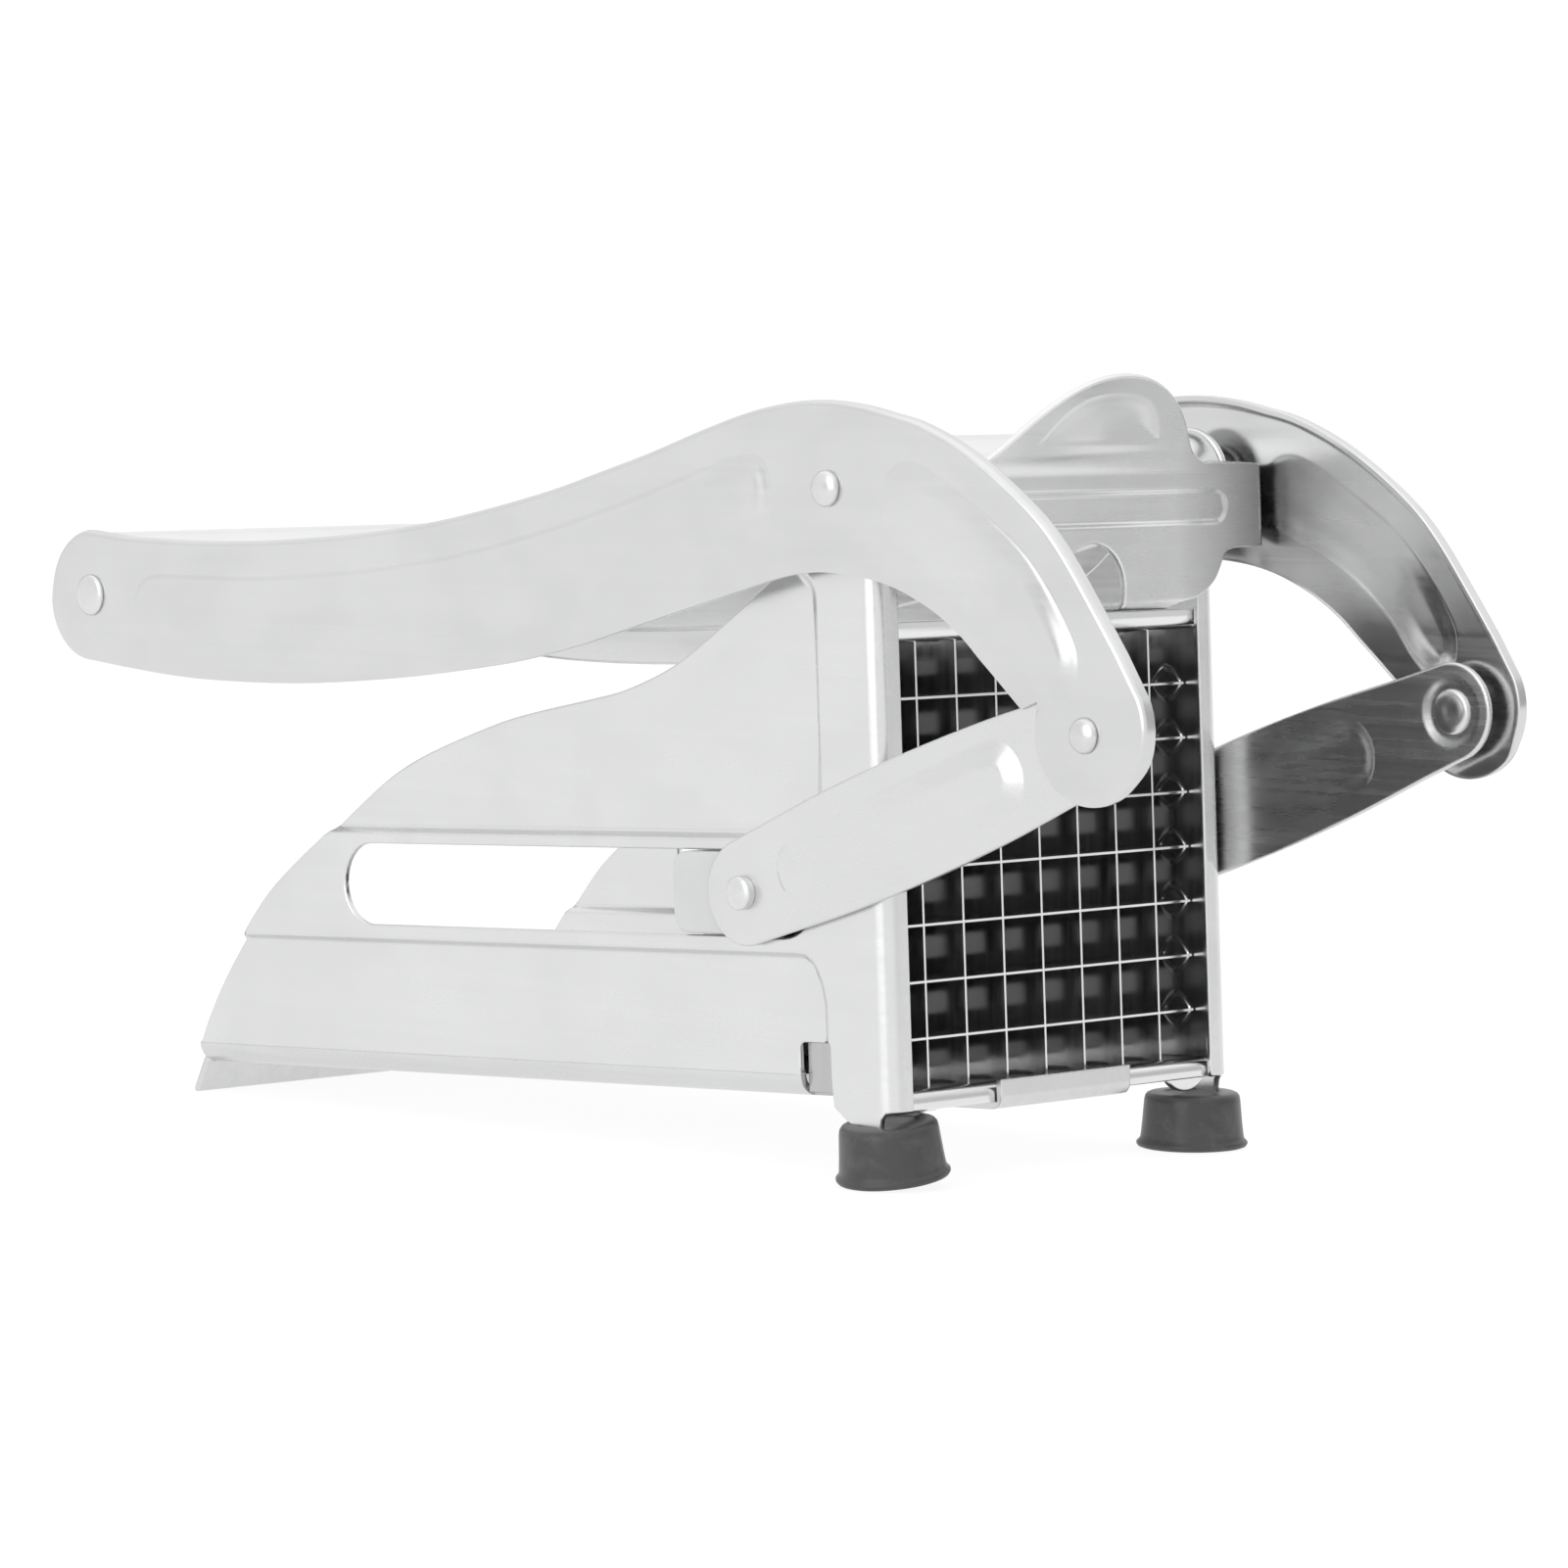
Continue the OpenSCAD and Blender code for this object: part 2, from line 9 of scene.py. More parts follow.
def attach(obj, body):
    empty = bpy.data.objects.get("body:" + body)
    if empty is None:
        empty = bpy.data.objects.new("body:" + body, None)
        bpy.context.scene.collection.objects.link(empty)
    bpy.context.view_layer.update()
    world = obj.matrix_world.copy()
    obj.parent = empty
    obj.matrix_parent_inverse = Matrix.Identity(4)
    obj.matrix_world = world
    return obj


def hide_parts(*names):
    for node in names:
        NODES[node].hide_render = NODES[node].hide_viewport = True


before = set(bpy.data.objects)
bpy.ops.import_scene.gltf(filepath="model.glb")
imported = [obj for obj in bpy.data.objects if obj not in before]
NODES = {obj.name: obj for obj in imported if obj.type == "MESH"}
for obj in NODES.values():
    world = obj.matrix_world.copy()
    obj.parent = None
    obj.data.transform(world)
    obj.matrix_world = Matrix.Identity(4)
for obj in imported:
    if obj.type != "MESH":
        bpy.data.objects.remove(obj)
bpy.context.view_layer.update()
scene = bpy.context.scene

# ---------------------------------------------------------------- camera
cam_data = bpy.data.cameras.new("camera")
cam = bpy.data.objects.new("camera", cam_data)
scene.collection.objects.link(cam)
cam.location = (0.78308721, -0.7441266, 0.13638847)
cam.rotation_euler = tuple(math.radians(a) for a in (85.857858, -0.012909, 46.123366))
cam_data.sensor_fit = "HORIZONTAL"
cam_data.sensor_width = 36.0
cam_data.lens = 147.1945
cam_data.clip_start = 0.02
cam_data.clip_end = 200.0
scene.camera = cam


# ---------------------------------------------------------------- material helpers
class Graph:
    """Short calls for building a node tree."""

    def __init__(self, name):
        self.mat = bpy.data.materials.new(name)
        self.mat.use_nodes = True
        self.t = self.mat.node_tree
        self.t.nodes.clear()
        self.out = self.t.nodes.new("ShaderNodeOutputMaterial")
        self.bsdf = self.t.nodes.new("ShaderNodeBsdfPrincipled")
        self.t.links.new(self.bsdf.outputs[0], self.out.inputs[0])
        self.coord = self.t.nodes.new("ShaderNodeTexCoord").outputs["Object"]

    def put(self, socket, value):
        if isinstance(value, bpy.types.NodeSocket):
            self.t.links.new(value, socket)
        elif value is not None:
            socket.default_value = value

    def mapped(self, scale, rot=(0, 0, 0), loc=(0, 0, 0), src=None):
        n = self.t.nodes.new("ShaderNodeMapping")
        n.inputs["Scale"].default_value = scale
        n.inputs["Rotation"].default_value = rot
        n.inputs["Location"].default_value = loc
        self.t.links.new(src or self.coord, n.inputs["Vector"])
        return n.outputs[0]

    def noise(self, scale, detail=2.0, rough=0.5, vec=None, distort=0.0):
        n = self.t.nodes.new("ShaderNodeTexNoise")
        n.inputs["Scale"].default_value = scale
        n.inputs["Detail"].default_value = detail
        n.inputs["Roughness"].default_value = rough
        n.inputs["Distortion"].default_value = distort
        self.t.links.new(vec or self.coord, n.inputs["Vector"])
        return n.outputs["Fac"]

    def voronoi(self, scale, vec=None, feature="F1"):
        n = self.t.nodes.new("ShaderNodeTexVoronoi")
        n.feature = feature
        n.inputs["Scale"].default_value = scale
        self.t.links.new(vec or self.coord, n.inputs["Vector"])
        return n.outputs["Distance"]

    def ramp(self, fac, lo, hi, a=0.0, b=1.0):
        n = self.t.nodes.new("ShaderNodeMapRange")
        n.clamp = True
        for k, v in zip(("From Min", "From Max", "To Min", "To Max"), (lo, hi, a, b)):
            n.inputs[k].default_value = v
        self.t.links.new(fac, n.inputs["Value"])
        return n.outputs[0]

    def math(self, op, a, b=None, clamp=False):
        n = self.t.nodes.new("ShaderNodeMath")
        n.operation = op
        n.use_clamp = clamp
        self.put(n.inputs[0], a)
        if b is not None:
            self.put(n.inputs[1], b)
        return n.outputs[0]

    def mix(self, fac, a, b):
        n = self.t.nodes.new("ShaderNodeMix")
        n.data_type = "RGBA"
        self.put(n.inputs["Factor"], fac)
        self.put(n.inputs[6], a)
        self.put(n.inputs[7], b)
        return n.outputs[2]

    def bevel(self, radius, samples=6):
        n = self.t.nodes.new("ShaderNodeBevel")
        n.samples = samples
        n.inputs["Radius"].default_value = radius
        return n.outputs[0]

    def bump(self, height, strength, distance, normal=None):
        n = self.t.nodes.new("ShaderNodeBump")
        n.inputs["Strength"].default_value = strength
        n.inputs["Distance"].default_value = distance
        self.t.links.new(height, n.inputs["Height"])
        if normal is not None:
            self.t.links.new(normal, n.inputs["Normal"])
        return n.outputs[0]

    def edge(self, radius):
        """1 on sharp outer and inner edges, 0 on flats."""
        b = self.bevel(radius)
        g = self.t.nodes.new("ShaderNodeNewGeometry").outputs["Normal"]
        n = self.t.nodes.new("ShaderNodeVectorMath")
        n.operation = "DOT_PRODUCT"
        self.t.links.new(b, n.inputs[0])
        self.t.links.new(g, n.inputs[1])
        return self.ramp(n.outputs["Value"], 0.98, 0.72, 0.0, 1.0), b


def grey(v, warm=0.0):
    return (v * (1 + warm), v, v * (1 - warm), 1.0)


def steel(name, base=0.80, rough=0.30, grain=(0, 0, 0), stretch=(30, 900, 900), grain_depth=0.25, smudge=0.03,
          bevel=0.0004, aniso=0.0, blotch=0.018, fine=0.6, specks=0.0, painted_shade_y=None):
    """Brushed stainless sheet: fine grain along x of the turned coordinates, faint rolling clouds, smudges, worn edges,
    and optional painted shade that darkens the tone between two world y values.
    """
    g = Graph(name)
    edge, bnormal = g.edge(bevel)
    gv = g.mapped(stretch, rot=grain)
    brush = g.noise(1.0, 2.5, 0.6, gv)
    brush_wide = g.noise(0.32, 2.0, 0.5, gv)
    cloud = g.noise(38.0, 3.0, 0.55)
    smear = g.ramp(g.noise(60.0, 1.0, 0.5, g.mapped((1, 1, 1.4), rot=(0.3, 0.5, 0.9)), distort=0.4), 0.48, 0.80)
    pits = g.ramp(g.voronoi(420.0, g.mapped((1, 1, 1), rot=(0.7, 0.2, 0.4))), 0.0, 0.10, 1.0, 0.0)
    spots = g.math("MULTIPLY", pits, g.ramp(g.noise(160.0, 2.0, 0.5), 0.62, 0.70))
    tone = g.math("ADD", g.ramp(cloud, 0.3, 0.7, -blotch, blotch), g.ramp(brush, 0.3, 0.7, -0.035 * fine, 0.035 * fine))
    tone = g.math("ADD", tone, g.ramp(brush_wide, 0.35, 0.65, -0.02 * fine, 0.02 * fine))
    tone = g.math("SUBTRACT", tone, g.math("MULTIPLY", smear, smudge))
    tone = g.math("SUBTRACT", tone, g.math("MULTIPLY", spots, specks))
    tone = g.math("ADD", tone, g.math("MULTIPLY", edge, 0.06))
    # painted shade: darkens the tone by up to the given amount between two world y values, for parts that sit in shade
    if painted_shade_y:
        split = g.t.nodes.new("ShaderNodeSeparateXYZ")
        g.t.links.new(g.coord, split.inputs[0])
        tone = g.math("SUBTRACT", tone, g.ramp(split.outputs[1], painted_shade_y[0], painted_shade_y[1], 0.0, painted_shade_y[2]))
    level = g.math("ADD", tone, base, clamp=True)
    rgb = g.t.nodes.new("ShaderNodeCombineColor")
    g.put(rgb.inputs[0], level)
    g.put(rgb.inputs[1], g.math("MULTIPLY", level, 1.002))
    g.put(rgb.inputs[2], g.math("MULTIPLY", level, 1.006))
    g.put(g.bsdf.inputs["Base Color"], rgb.outputs[0])
    g.bsdf.inputs["Metallic"].default_value = 1.0
    r = g.math("ADD", g.ramp(brush, 0.25, 0.75, -0.05, 0.05), g.ramp(cloud, 0.3, 0.7, -0.03, 0.04))
    r = g.math("ADD", r, g.math("MULTIPLY", smear, 0.03))
    r = g.math("SUBTRACT", r, g.math("MULTIPLY", edge, 0.06))
    g.put(g.bsdf.inputs["Roughness"], g.math("ADD", r, rough, clamp=True))
    if aniso:
        g.bsdf.inputs["Anisotropic"].default_value = aniso
    n = g.bump(brush, grain_depth, 0.00003, bnormal)
    n = g.bump(cloud, 0.02, 0.0006, n)
    g.put(g.bsdf.inputs["Normal"], n)
    return g.mat


UP = math.radians(2.7)


def plastic(name, base, rough, speck=0.02, bevel=0.0004, bump_scale=2600.0, bump=0.25, dust=0.0, painted_light_fronts=None):
    """Moulded plastic or rubber: satin skin with fine texture, faint dust and scuffed edges. An optional (x0, x1, tone)
    triple
    paints light: it pales the parts that lie further forward than x0, measured square to the blades, as lit front
    faces."""
    g = Graph(name)
    edge, bnormal = g.edge(bevel)
    fine = g.noise(bump_scale, 3.0, 0.6)
    cloud = g.noise(60.0, 4.0, 0.6)
    dusty = g.ramp(g.noise(180.0, 5.0, 0.7, distort=0.4), 0.5, 0.8)
    lo = tuple(c * (1 - speck * 6) for c in base[:3]) + (1.0,)
    hi = tuple(min(1.0, c * (1 + speck * 6)) for c in base[:3]) + (1.0,)
    col = g.mix(g.ramp(cloud, 0.3, 0.7), lo, hi)
    col = g.mix(g.math("MULTIPLY", dusty, dust), col, grey(0.42))
    # painted light: faces further forward, the pins' lit front faces, are paled towards the given tone, with a little
    # noise
    if painted_light_fronts:
        split = g.t.nodes.new("ShaderNodeSeparateXYZ")
        g.t.links.new(g.coord, split.inputs[0])
        along = g.math("ADD", g.math("MULTIPLY", split.outputs[0], math.cos(UP)), g.math("MULTIPLY", split.outputs[2], math.sin(UP)))
        painted_light_mask = g.math("MULTIPLY", g.ramp(along, painted_light_fronts[0], painted_light_fronts[1]), g.ramp(g.noise(420.0, 4.0, 0.6), 0.2, 0.8, 0.82, 1.0))
        col = g.mix(painted_light_mask, col, grey(painted_light_fronts[2]))
    col = g.mix(g.math("MULTIPLY", edge, 0.25), col, grey(min(0.3, base[0] * 2.2 + 0.02)))
    g.put(g.bsdf.inputs["Base Color"], col)
    g.bsdf.inputs["Metallic"].default_value = 0.0
    g.put(g.bsdf.inputs["Roughness"], g.math("ADD", g.ramp(cloud, 0.3, 0.7, -0.05, 0.08), rough, clamp=True))
    g.put(g.bsdf.inputs["Normal"], g.bump(fine, bump, 0.00012, bnormal))
    return g.mat


MATS = {
    "wall": steel("steel_wall", 0.705, 0.22, grain=(0, UP, 0), stretch=(16, 800, 800), grain_depth=0.015, smudge=0.02, blotch=0.018, fine=0.22),
    "floor": steel("steel_floor", 0.66, 0.28, grain=(0, UP, 0), stretch=(18, 500, 500), grain_depth=0.02, smudge=0.012),
    "arm": steel("steel_arm", 0.665, 0.21, grain=(0, math.radians(-12), 0), stretch=(16, 800, 800), grain_depth=0.015, smudge=0.024, blotch=0.020, fine=0.22),
    "link": steel("steel_link", 0.695, 0.27, grain=(0, math.radians(20), 0), stretch=(16, 900, 900), grain_depth=0.015, smudge=0.014, blotch=0.014, fine=0.10),
    # painted shade: the latch plate darkens towards its far end and far leg
    "plate": steel("steel_plate", 0.75, 0.25, grain=(0, 0, 0), stretch=(700, 14, 700), grain_depth=0.005, smudge=0.02, blotch=0.03, fine=0.15, painted_shade_y=(0.020, 0.039, 0.46)),
    "tube": steel("steel_tube", 0.77, 0.20, stretch=(900, 22, 900), bevel=0.0003, grain_depth=0.15),
    "rivet": steel("steel_rivet", 0.70, 0.24, stretch=(380, 380, 380), bevel=0.0004, blotch=0.05, grain_depth=0.25, specks=0.05),
    "blade": steel("steel_blade", 0.80, 0.18, stretch=(700, 60, 60), bevel=0.0001, blotch=0.03),
    # painted shade: the near side of the blade frame beyond y = -35.5 mm (the near cheek's outer face, seen through the
    # wall's notch and slot) is darkened
    "frame": steel("steel_frame", 0.80, 0.20, stretch=(600, 24, 24), bevel=0.0003, grain_depth=0.10, painted_shade_y=(-0.0351, -0.0355, 0.30)),
    # painted light on the front faces of the pusher pins
    "pusher": plastic("black_pusher", (0.040, 0.040, 0.042), 0.42, dust=0.02, bevel=0.0004, painted_light_fronts=(0.0599, 0.0605, 0.34)),
    "slider": plastic("pale_slider", (0.55, 0.553, 0.556), 0.32, speck=0.006),
    "rubber": plastic("dark_rubber", (0.048, 0.048, 0.049), 0.35, dust=0.10, bevel=0.0008, bump_scale=900.0, bump=0.35),
}
LOOK = {
    "floor_pan": "floor", "side_wall_left": "wall", "side_wall_right": "wall", "cross_tube": "tube", "pivot_axle": "rivet",
    "pivot_washers": "rivet", "lock_plate": "plate", "blade_frame": "frame", "blades_vertical": "blade",
    "blades_horizontal": "blade", "foot_left": "rubber", "foot_right": "rubber", "handle_arm_left": "arm",
    "handle_arm_right": "arm", "grip_tube": "tube", "grip_rod": "rivet", "front_rivets": "rivet", "link_left": "link",
    "link_right": "link", "link_pin_left": "rivet", "link_pin_right": "rivet", "pusher_block": "pusher",
    "pusher_plate": "wall", "pusher_screws": "rivet", "slider_shoe_left": "slider", "slider_shoe_right": "slider",
    "pusher_rod": "rivet",
}
for node, look in LOOK.items():
    ob = NODES[node]
    for ms in ob.material_slots:
        ms.material = MATS[look]


# ---------------------------------------------------------------- shapes
# Pieces are drawn in the working frame of the CAD source, in mm: +x forward, +y left, +z up, origin at the grid's centre.
TILT = math.radians(2.7)
MID, GROUND = 68.85988, 49.7
PO, PA, PB, PG = (-0.8, 60.5), (53.0, 21.8), (-25.9, -3.4), (-188.6, 46.9)


def row(p):
    x, y, z = p
    return ((x * math.cos(TILT) - z * math.sin(TILT) + MID) / 1000.0, y / 1000.0,
            (x * math.sin(TILT) + z * math.cos(TILT) + GROUND) / 1000.0)


def turn(n):
    x, y, z = n
    return (x * math.cos(TILT) - z * math.sin(TILT), y, x * math.sin(TILT) + z * math.cos(TILT))


def spline(a, b, c, d, t):
    return 0.5 * (2 * b + (c - a) * t + (2 * a - 5 * b + 4 * c - d) * t * t + (3 * b - a - 3 * c + d) * t * t * t)


def open_curve(p, n):
    p = np.array(p, float)
    out = [spline(p[max(i - 1, 0)], p[i], p[i + 1], p[min(i + 2, len(p) - 1)], k / n) for i in range(len(p) - 1) for k in range(n)]
    return out + [p[-1]]


def loop_curve(p, n):
    p = np.array(p, float)
    m = len(p)
    return [spline(p[i - 1], p[i], p[(i + 1) % m], p[(i + 2) % m], k / n) for i in range(m) for k in range(n)]


def arc(c, r, a0, a1, n):
    return [np.array(c, float) + r * np.array([math.cos(math.radians(a0 + (a1 - a0) * i / n)), math.sin(math.radians(a0 + (a1 - a0) * i / n))]) for i in range(n + 1)]


def obround(a, b, r, n=12):
    a, b = np.array(a, float), np.array(b, float)
    g = math.degrees(math.atan2(*(b - a)[::-1]))
    return arc(a, r, g + 90, g + 270, n) + arc(b, r, g - 90, g + 90, n)


def ccw(p):
    p = np.array(p, float)
    q = np.roll(p, -1, 0)
    return p if (p[:, 0] * q[:, 1] - q[:, 0] * p[:, 1]).sum() > 0 else p[::-1].copy()


def tidy(p, gap=0.02):
    """Drops points that repeat."""
    out = []
    for q in p:
        if not out or np.hypot(*(np.array(q) - out[-1])) > gap:
            out.append(np.array(q, float))
    if np.hypot(*(out[0] - out[-1])) <= gap:
        out.pop()
    return np.array(out)


def even(p, gap):
    """A closed line again, with points at equal distances."""
    p = np.array(p, float)
    q = np.concatenate([p, p[:1]])
    run = np.concatenate([[0], np.cumsum(np.hypot(*np.diff(q, axis=0).T))])
    n = int(math.ceil(run[-1] / gap))
    at = np.arange(n) * run[-1] / n
    return np.stack([np.interp(at, run, q[:, 0]), np.interp(at, run, q[:, 1])], 1)


def split_long(p, longest):
    out = []
    for i in range(len(p)):
        a, b = p[i], p[(i + 1) % len(p)]
        n = max(1, int(math.ceil(np.hypot(*(b - a)) / longest)))
        out += [a + (b - a) * k / n for k in range(n)]
    return np.array(out)


def inward(p):
    """Unit inward direction at each corner of a counter-clockwise outline, and the miter length there."""
    u = p - np.roll(p, 1, 0)
    v = np.roll(p, -1, 0) - p
    u /= np.hypot(u[:, 0], u[:, 1])[:, None]
    v /= np.hypot(v[:, 0], v[:, 1])[:, None]
    w = u + v
    w /= np.maximum(np.hypot(w[:, 0], w[:, 1]), 1e-6)[:, None]
    m = 1.0 / np.maximum(0.6, (w * u).sum(1))
    return np.stack([-w[:, 1], w[:, 0]], 1), m


def signed(points, poly):
    """Distance to a closed outline, positive inside."""
    a, b = poly, np.roll(poly, -1, 0)
    best = np.full(len(points), 1e9)
    inside = np.zeros(len(points), bool)
    px, py = points[:, 0], points[:, 1]
    for (ax, ay), (bx, by) in zip(a, b):
        dx, dy = bx - ax, by - ay
        t = np.clip(((px - ax) * dx + (py - ay) * dy) / (dx * dx + dy * dy), 0, 1)
        best = np.minimum(best, np.hypot(px - ax - t * dx, py - ay - t * dy))
        cross = (ay > py) != (by > py)
        if cross.any():
            with np.errstate(divide="ignore", invalid="ignore"):
                xi = ax + (py - ay) * dx / (dy if dy else 1e-12)
            inside ^= cross & (px < xi)
    return np.where(inside, best, -best)


def smooth(t):
    t = np.clip(t, 0, 1)
    return t * t * (3 - 2 * t)


def flat_edge(t, r, n=4):
    """Rounded edge of a plain sheet: (inset, depth, outward share, up share) from the outer skin round to the inner one."""
    out = [(r - r * math.sin(k * math.pi / 2 / n), -(r - r * math.cos(k * math.pi / 2 / n)), math.sin(k * math.pi / 2 / n), math.cos(k * math.pi / 2 / n)) for k in range(n + 1)]
    return out + [(d, -t - y, o, -u) for d, y, o, u in reversed(out)]


def rim_edge(t, r, depth, n=6, e=0.3):
    """Sheet turned inwards into a rim of that depth, outer bend radius r."""
    q = [k * math.pi / 2 / n for k in range(n + 1)]
    out = [(r - r * math.sin(a), -(r - r * math.cos(a)), math.sin(a), math.cos(a)) for a in q]
    m = [k * math.pi / 2 / 3 for k in range(4)]
    out += [(e - e * math.cos(a), -depth + e - e * math.sin(a), math.cos(a), -math.sin(a)) for a in m]
    out += [(t - e + e * math.sin(a), -depth + e - e * math.cos(a), -math.sin(a), -math.cos(a)) for a in m]
    s = max(0.8, r - t)
    c = t + s
    out += [(c - s * math.sin(a), -(c - s * math.cos(a)), -math.sin(a), -math.cos(a)) for a in reversed(q)]
    return [(c, 0.0, 0.0, 1.0)] + out


class Builder:
    def __init__(self):
        self.v, self.n, self.f = [], [], []

    def add(self, pts, nrm):
        i = len(self.v)
        self.v += [tuple(p) for p in pts]
        self.n += [tuple(p) for p in nrm]
        return list(range(i, i + len(pts)))

    def strip(self, a, b, closed=True):
        m = len(a)
        for i in range(m if closed else m - 1):
            j = (i + 1) % m
            self.f.append((a[i], a[j], b[j], b[i]))

    def object(self, name, mirror=False):
        v = [(x, -y, z) for x, y, z in self.v] if mirror else self.v
        n = [(x, -y, z) for x, y, z in self.n] if mirror else self.n
        vr = np.array([row(p) for p in v])
        nr = np.array([turn(p) for p in n])
        nr /= np.maximum(np.linalg.norm(nr, axis=1), 1e-9)[:, None]
        faces = []
        for f in self.f:
            f = [k for i, k in enumerate(f) if k != f[i - 1]]
            if len(f) < 3:
                continue
            p = vr[f]
            g = sum(np.cross(p[i] - p[0], p[i + 1] - p[0]) for i in range(1, len(f) - 1))
            if np.linalg.norm(g) < 1e-14:
                continue
            faces.append(tuple(f) if g @ nr[f].sum(0) > 0 else tuple(reversed(f)))
        me = bpy.data.meshes.new(name)
        me.from_pydata([tuple(p) for p in vr], [], faces)
        me.update()
        me.polygons.foreach_set("use_smooth", [True] * len(me.polygons))
        loops = np.zeros(len(me.loops), np.int32)
        me.loops.foreach_get("vertex_index", loops)
        me.normals_split_custom_set([tuple(nr[k]) for k in loops])
        ob = bpy.data.objects.new(name, me)
        scene.collection.objects.link(ob)
        return ob


def pressed(b, outline, t, edge, place, height=None, holes=(), lines=(), step=2.4, soft_edge=None, grad=0.05):
    """Adds a closed sheet. outline, holes and lines are in the sheet's plane; place(u, v, w) puts a point in the working
    frame, and height(points) lifts both skins. edge is the profile from flat_edge or rim_edge; soft_edge(points) scales
    it, so that 0 leaves a square seam."""
    height = height or (lambda p: np.zeros(len(p)))

    def frames(p, w, out2=None, o=0.0, u=1.0):
        """Positions and normals for points p at offset w above the height field."""
        h = height(p)
        hu = (height(p + [grad, 0]) - height(p - [grad, 0])) / (2 * grad)
        hv = (height(p + [0, grad]) - height(p - [0, grad])) / (2 * grad)
        pos = [place(a[0], a[1], c) for a, c in zip(p, h + w)]
        nrm = np.stack([-hu * u, -hv * u, np.full(len(p), float(u))], 1)
        if out2 is not None:
            nrm[:, :2] += out2 * o
        e = 1e-3
        res = []
        for a, c, n in zip(p, h + w, nrm):
            o0 = np.array(place(a[0], a[1], c))
            du = (np.array(place(a[0] + e, a[1], c)) - o0) / e
            dv = (np.array(place(a[0], a[1] + e, c)) - o0) / e
            dw = (np.array(place(a[0], a[1], c + e)) - o0) / e
            q = n[0] * du + n[1] * dv + n[2] * dw
            res.append(q / max(1e-9, np.linalg.norm(q)))
        return pos, res

    reach = edge[0][0]
    rims = []
    for k, ring in enumerate([outline, *holes]):
        ring = ccw(ring)
        d, m = inward(ring)
        if k:
            d = -d
        s = np.ones(len(ring)) if soft_edge is None or k else soft_edge(ring)
        rims.append((ring, d, m, s))
    pts, edges, keep = [], [], []
    for ring, d, m, s in rims:
        i = len(pts)
        q = ring + d * (m * s * reach + 0.003 * np.sin(12.9898 * np.arange(len(ring))))[:, None]
        pts += [Vector(x) for x in q]
        keep.append(q)
        edges += [(i + j, i + (j + 1) % len(q)) for j in range(len(q))]
    count = len(pts)
    lo, hi = keep[0].min(0), keep[0].max(0)
    gu = np.arange(lo[0], hi[0], step)
    gv = np.arange(lo[1], hi[1], step * 0.866)
    grid = np.array([(x + (step / 2 if j % 2 else 0), y) for j, y in enumerate(gv) for x in gu])
    near = signed(grid, keep[0]) > step * 0.45
    for q in keep[1:]:
        near &= signed(grid, q) < -step * 0.45
    rows_ = []
    for line in lines:
        line = np.array(line)
        ok = signed(line, keep[0]) > 0.25
        for q in keep[1:]:
            ok &= signed(line, q) < -0.25
        rows_.append(line[ok])
    if rows_:
        cloud = np.concatenate(rows_)
        # grid points that crowd a line are left out
        cell = {}
        for line in rows_:
            for p, q in zip(line, np.concatenate([line[1:], line[-1:]])):
                n = 1 + int(np.hypot(*(q - p)) / 0.5) if np.hypot(*(q - p)) < 3.0 else 1
                for k in range(n):
                    m = p + (q - p) * k / n
                    cell.setdefault((int(m[0] // 1.0), int(m[1] // 1.0)), []).append(m)
        for i in np.nonzero(near)[0]:
            c = (int(grid[i][0] // 1.0), int(grid[i][1] // 1.0))
            if any(np.hypot(*(grid[i] - p)) < 0.8 for a in (-1, 0, 1) for e_ in (-1, 0, 1) for p in cell.get((c[0] + a, c[1] + e_), ())):
                near[i] = False
        pts += [Vector(x) for x in cloud]
    pts += [Vector(x) for x in grid[near]]
    vc, _, fc, ov, _, _ = delaunay_2d_cdt(pts, edges, [], 0, 1e-5)
    vc = np.array([tuple(v) for v in vc])
    new_of = {}
    for i, src in enumerate(ov):
        for k in src:
            new_of[k] = i
    mid = np.array([vc[list(f)].mean(0) for f in fc])
    ok = signed(mid, keep[0]) > 0
    for q in keep[1:]:
        ok &= signed(mid, q) < 0
    top_p, top_n = frames(vc, edge[0][1])
    low_p, low_n = frames(vc, edge[-1][1], u=-1.0)
    top, low = b.add(top_p, top_n), b.add(low_p, low_n)
    for f, good in zip(fc, ok):
        if good:
            b.f.append(tuple(top[i] for i in f))
            b.f.append(tuple(low[i] for i in f))
    start = 0
    for ring, d, m, s in rims:
        last = [top[new_of[start + j]] for j in range(len(ring))]
        for dist, depth, o, u in edge[1:-1]:
            q = ring + d * (m * s * dist)[:, None]
            if depth > -t / 2 and len(edge) < 16:
                w = depth * s
            elif len(edge) < 16:
                w = -t + (depth + t) * s
            else:
                w = np.where(depth < -1.25, -1.25 + (depth + 1.25) * s, depth)
            pos, nrm = [], []
            hp, hn = frames_at(q, w, -d, o, u, height, place, grad)
            cur = b.add(hp, hn)
            b.strip(last, cur)
            last = cur
        b.strip(last, [low[new_of[start + j]] for j in range(len(ring))])
        start += len(ring)


def frames_at(q, w, out2, o, u, height, place, grad):
    h = height(q)
    hu = (height(q + [grad, 0]) - height(q - [grad, 0])) / (2 * grad)
    hv = (height(q + [0, grad]) - height(q - [0, grad])) / (2 * grad)
    w = np.broadcast_to(w, (len(q),))
    nrm = np.stack([-hu * u, -hv * u, np.full(len(q), float(u))], 1)
    nrm[:, :2] += out2 * o
    e = 1e-3
    pos, res = [], []
    for a, c, n in zip(q, h + w, nrm):
        o0 = np.array(place(a[0], a[1], c))
        du = (np.array(place(a[0] + e, a[1], c)) - o0) / e
        dv = (np.array(place(a[0], a[1] + e, c)) - o0) / e
        dw = (np.array(place(a[0], a[1], c + e)) - o0) / e
        v = n[0] * du + n[1] * dv + n[2] * dw
        pos.append(tuple(o0))
        res.append(v / max(1e-9, np.linalg.norm(v)))
    return pos, res


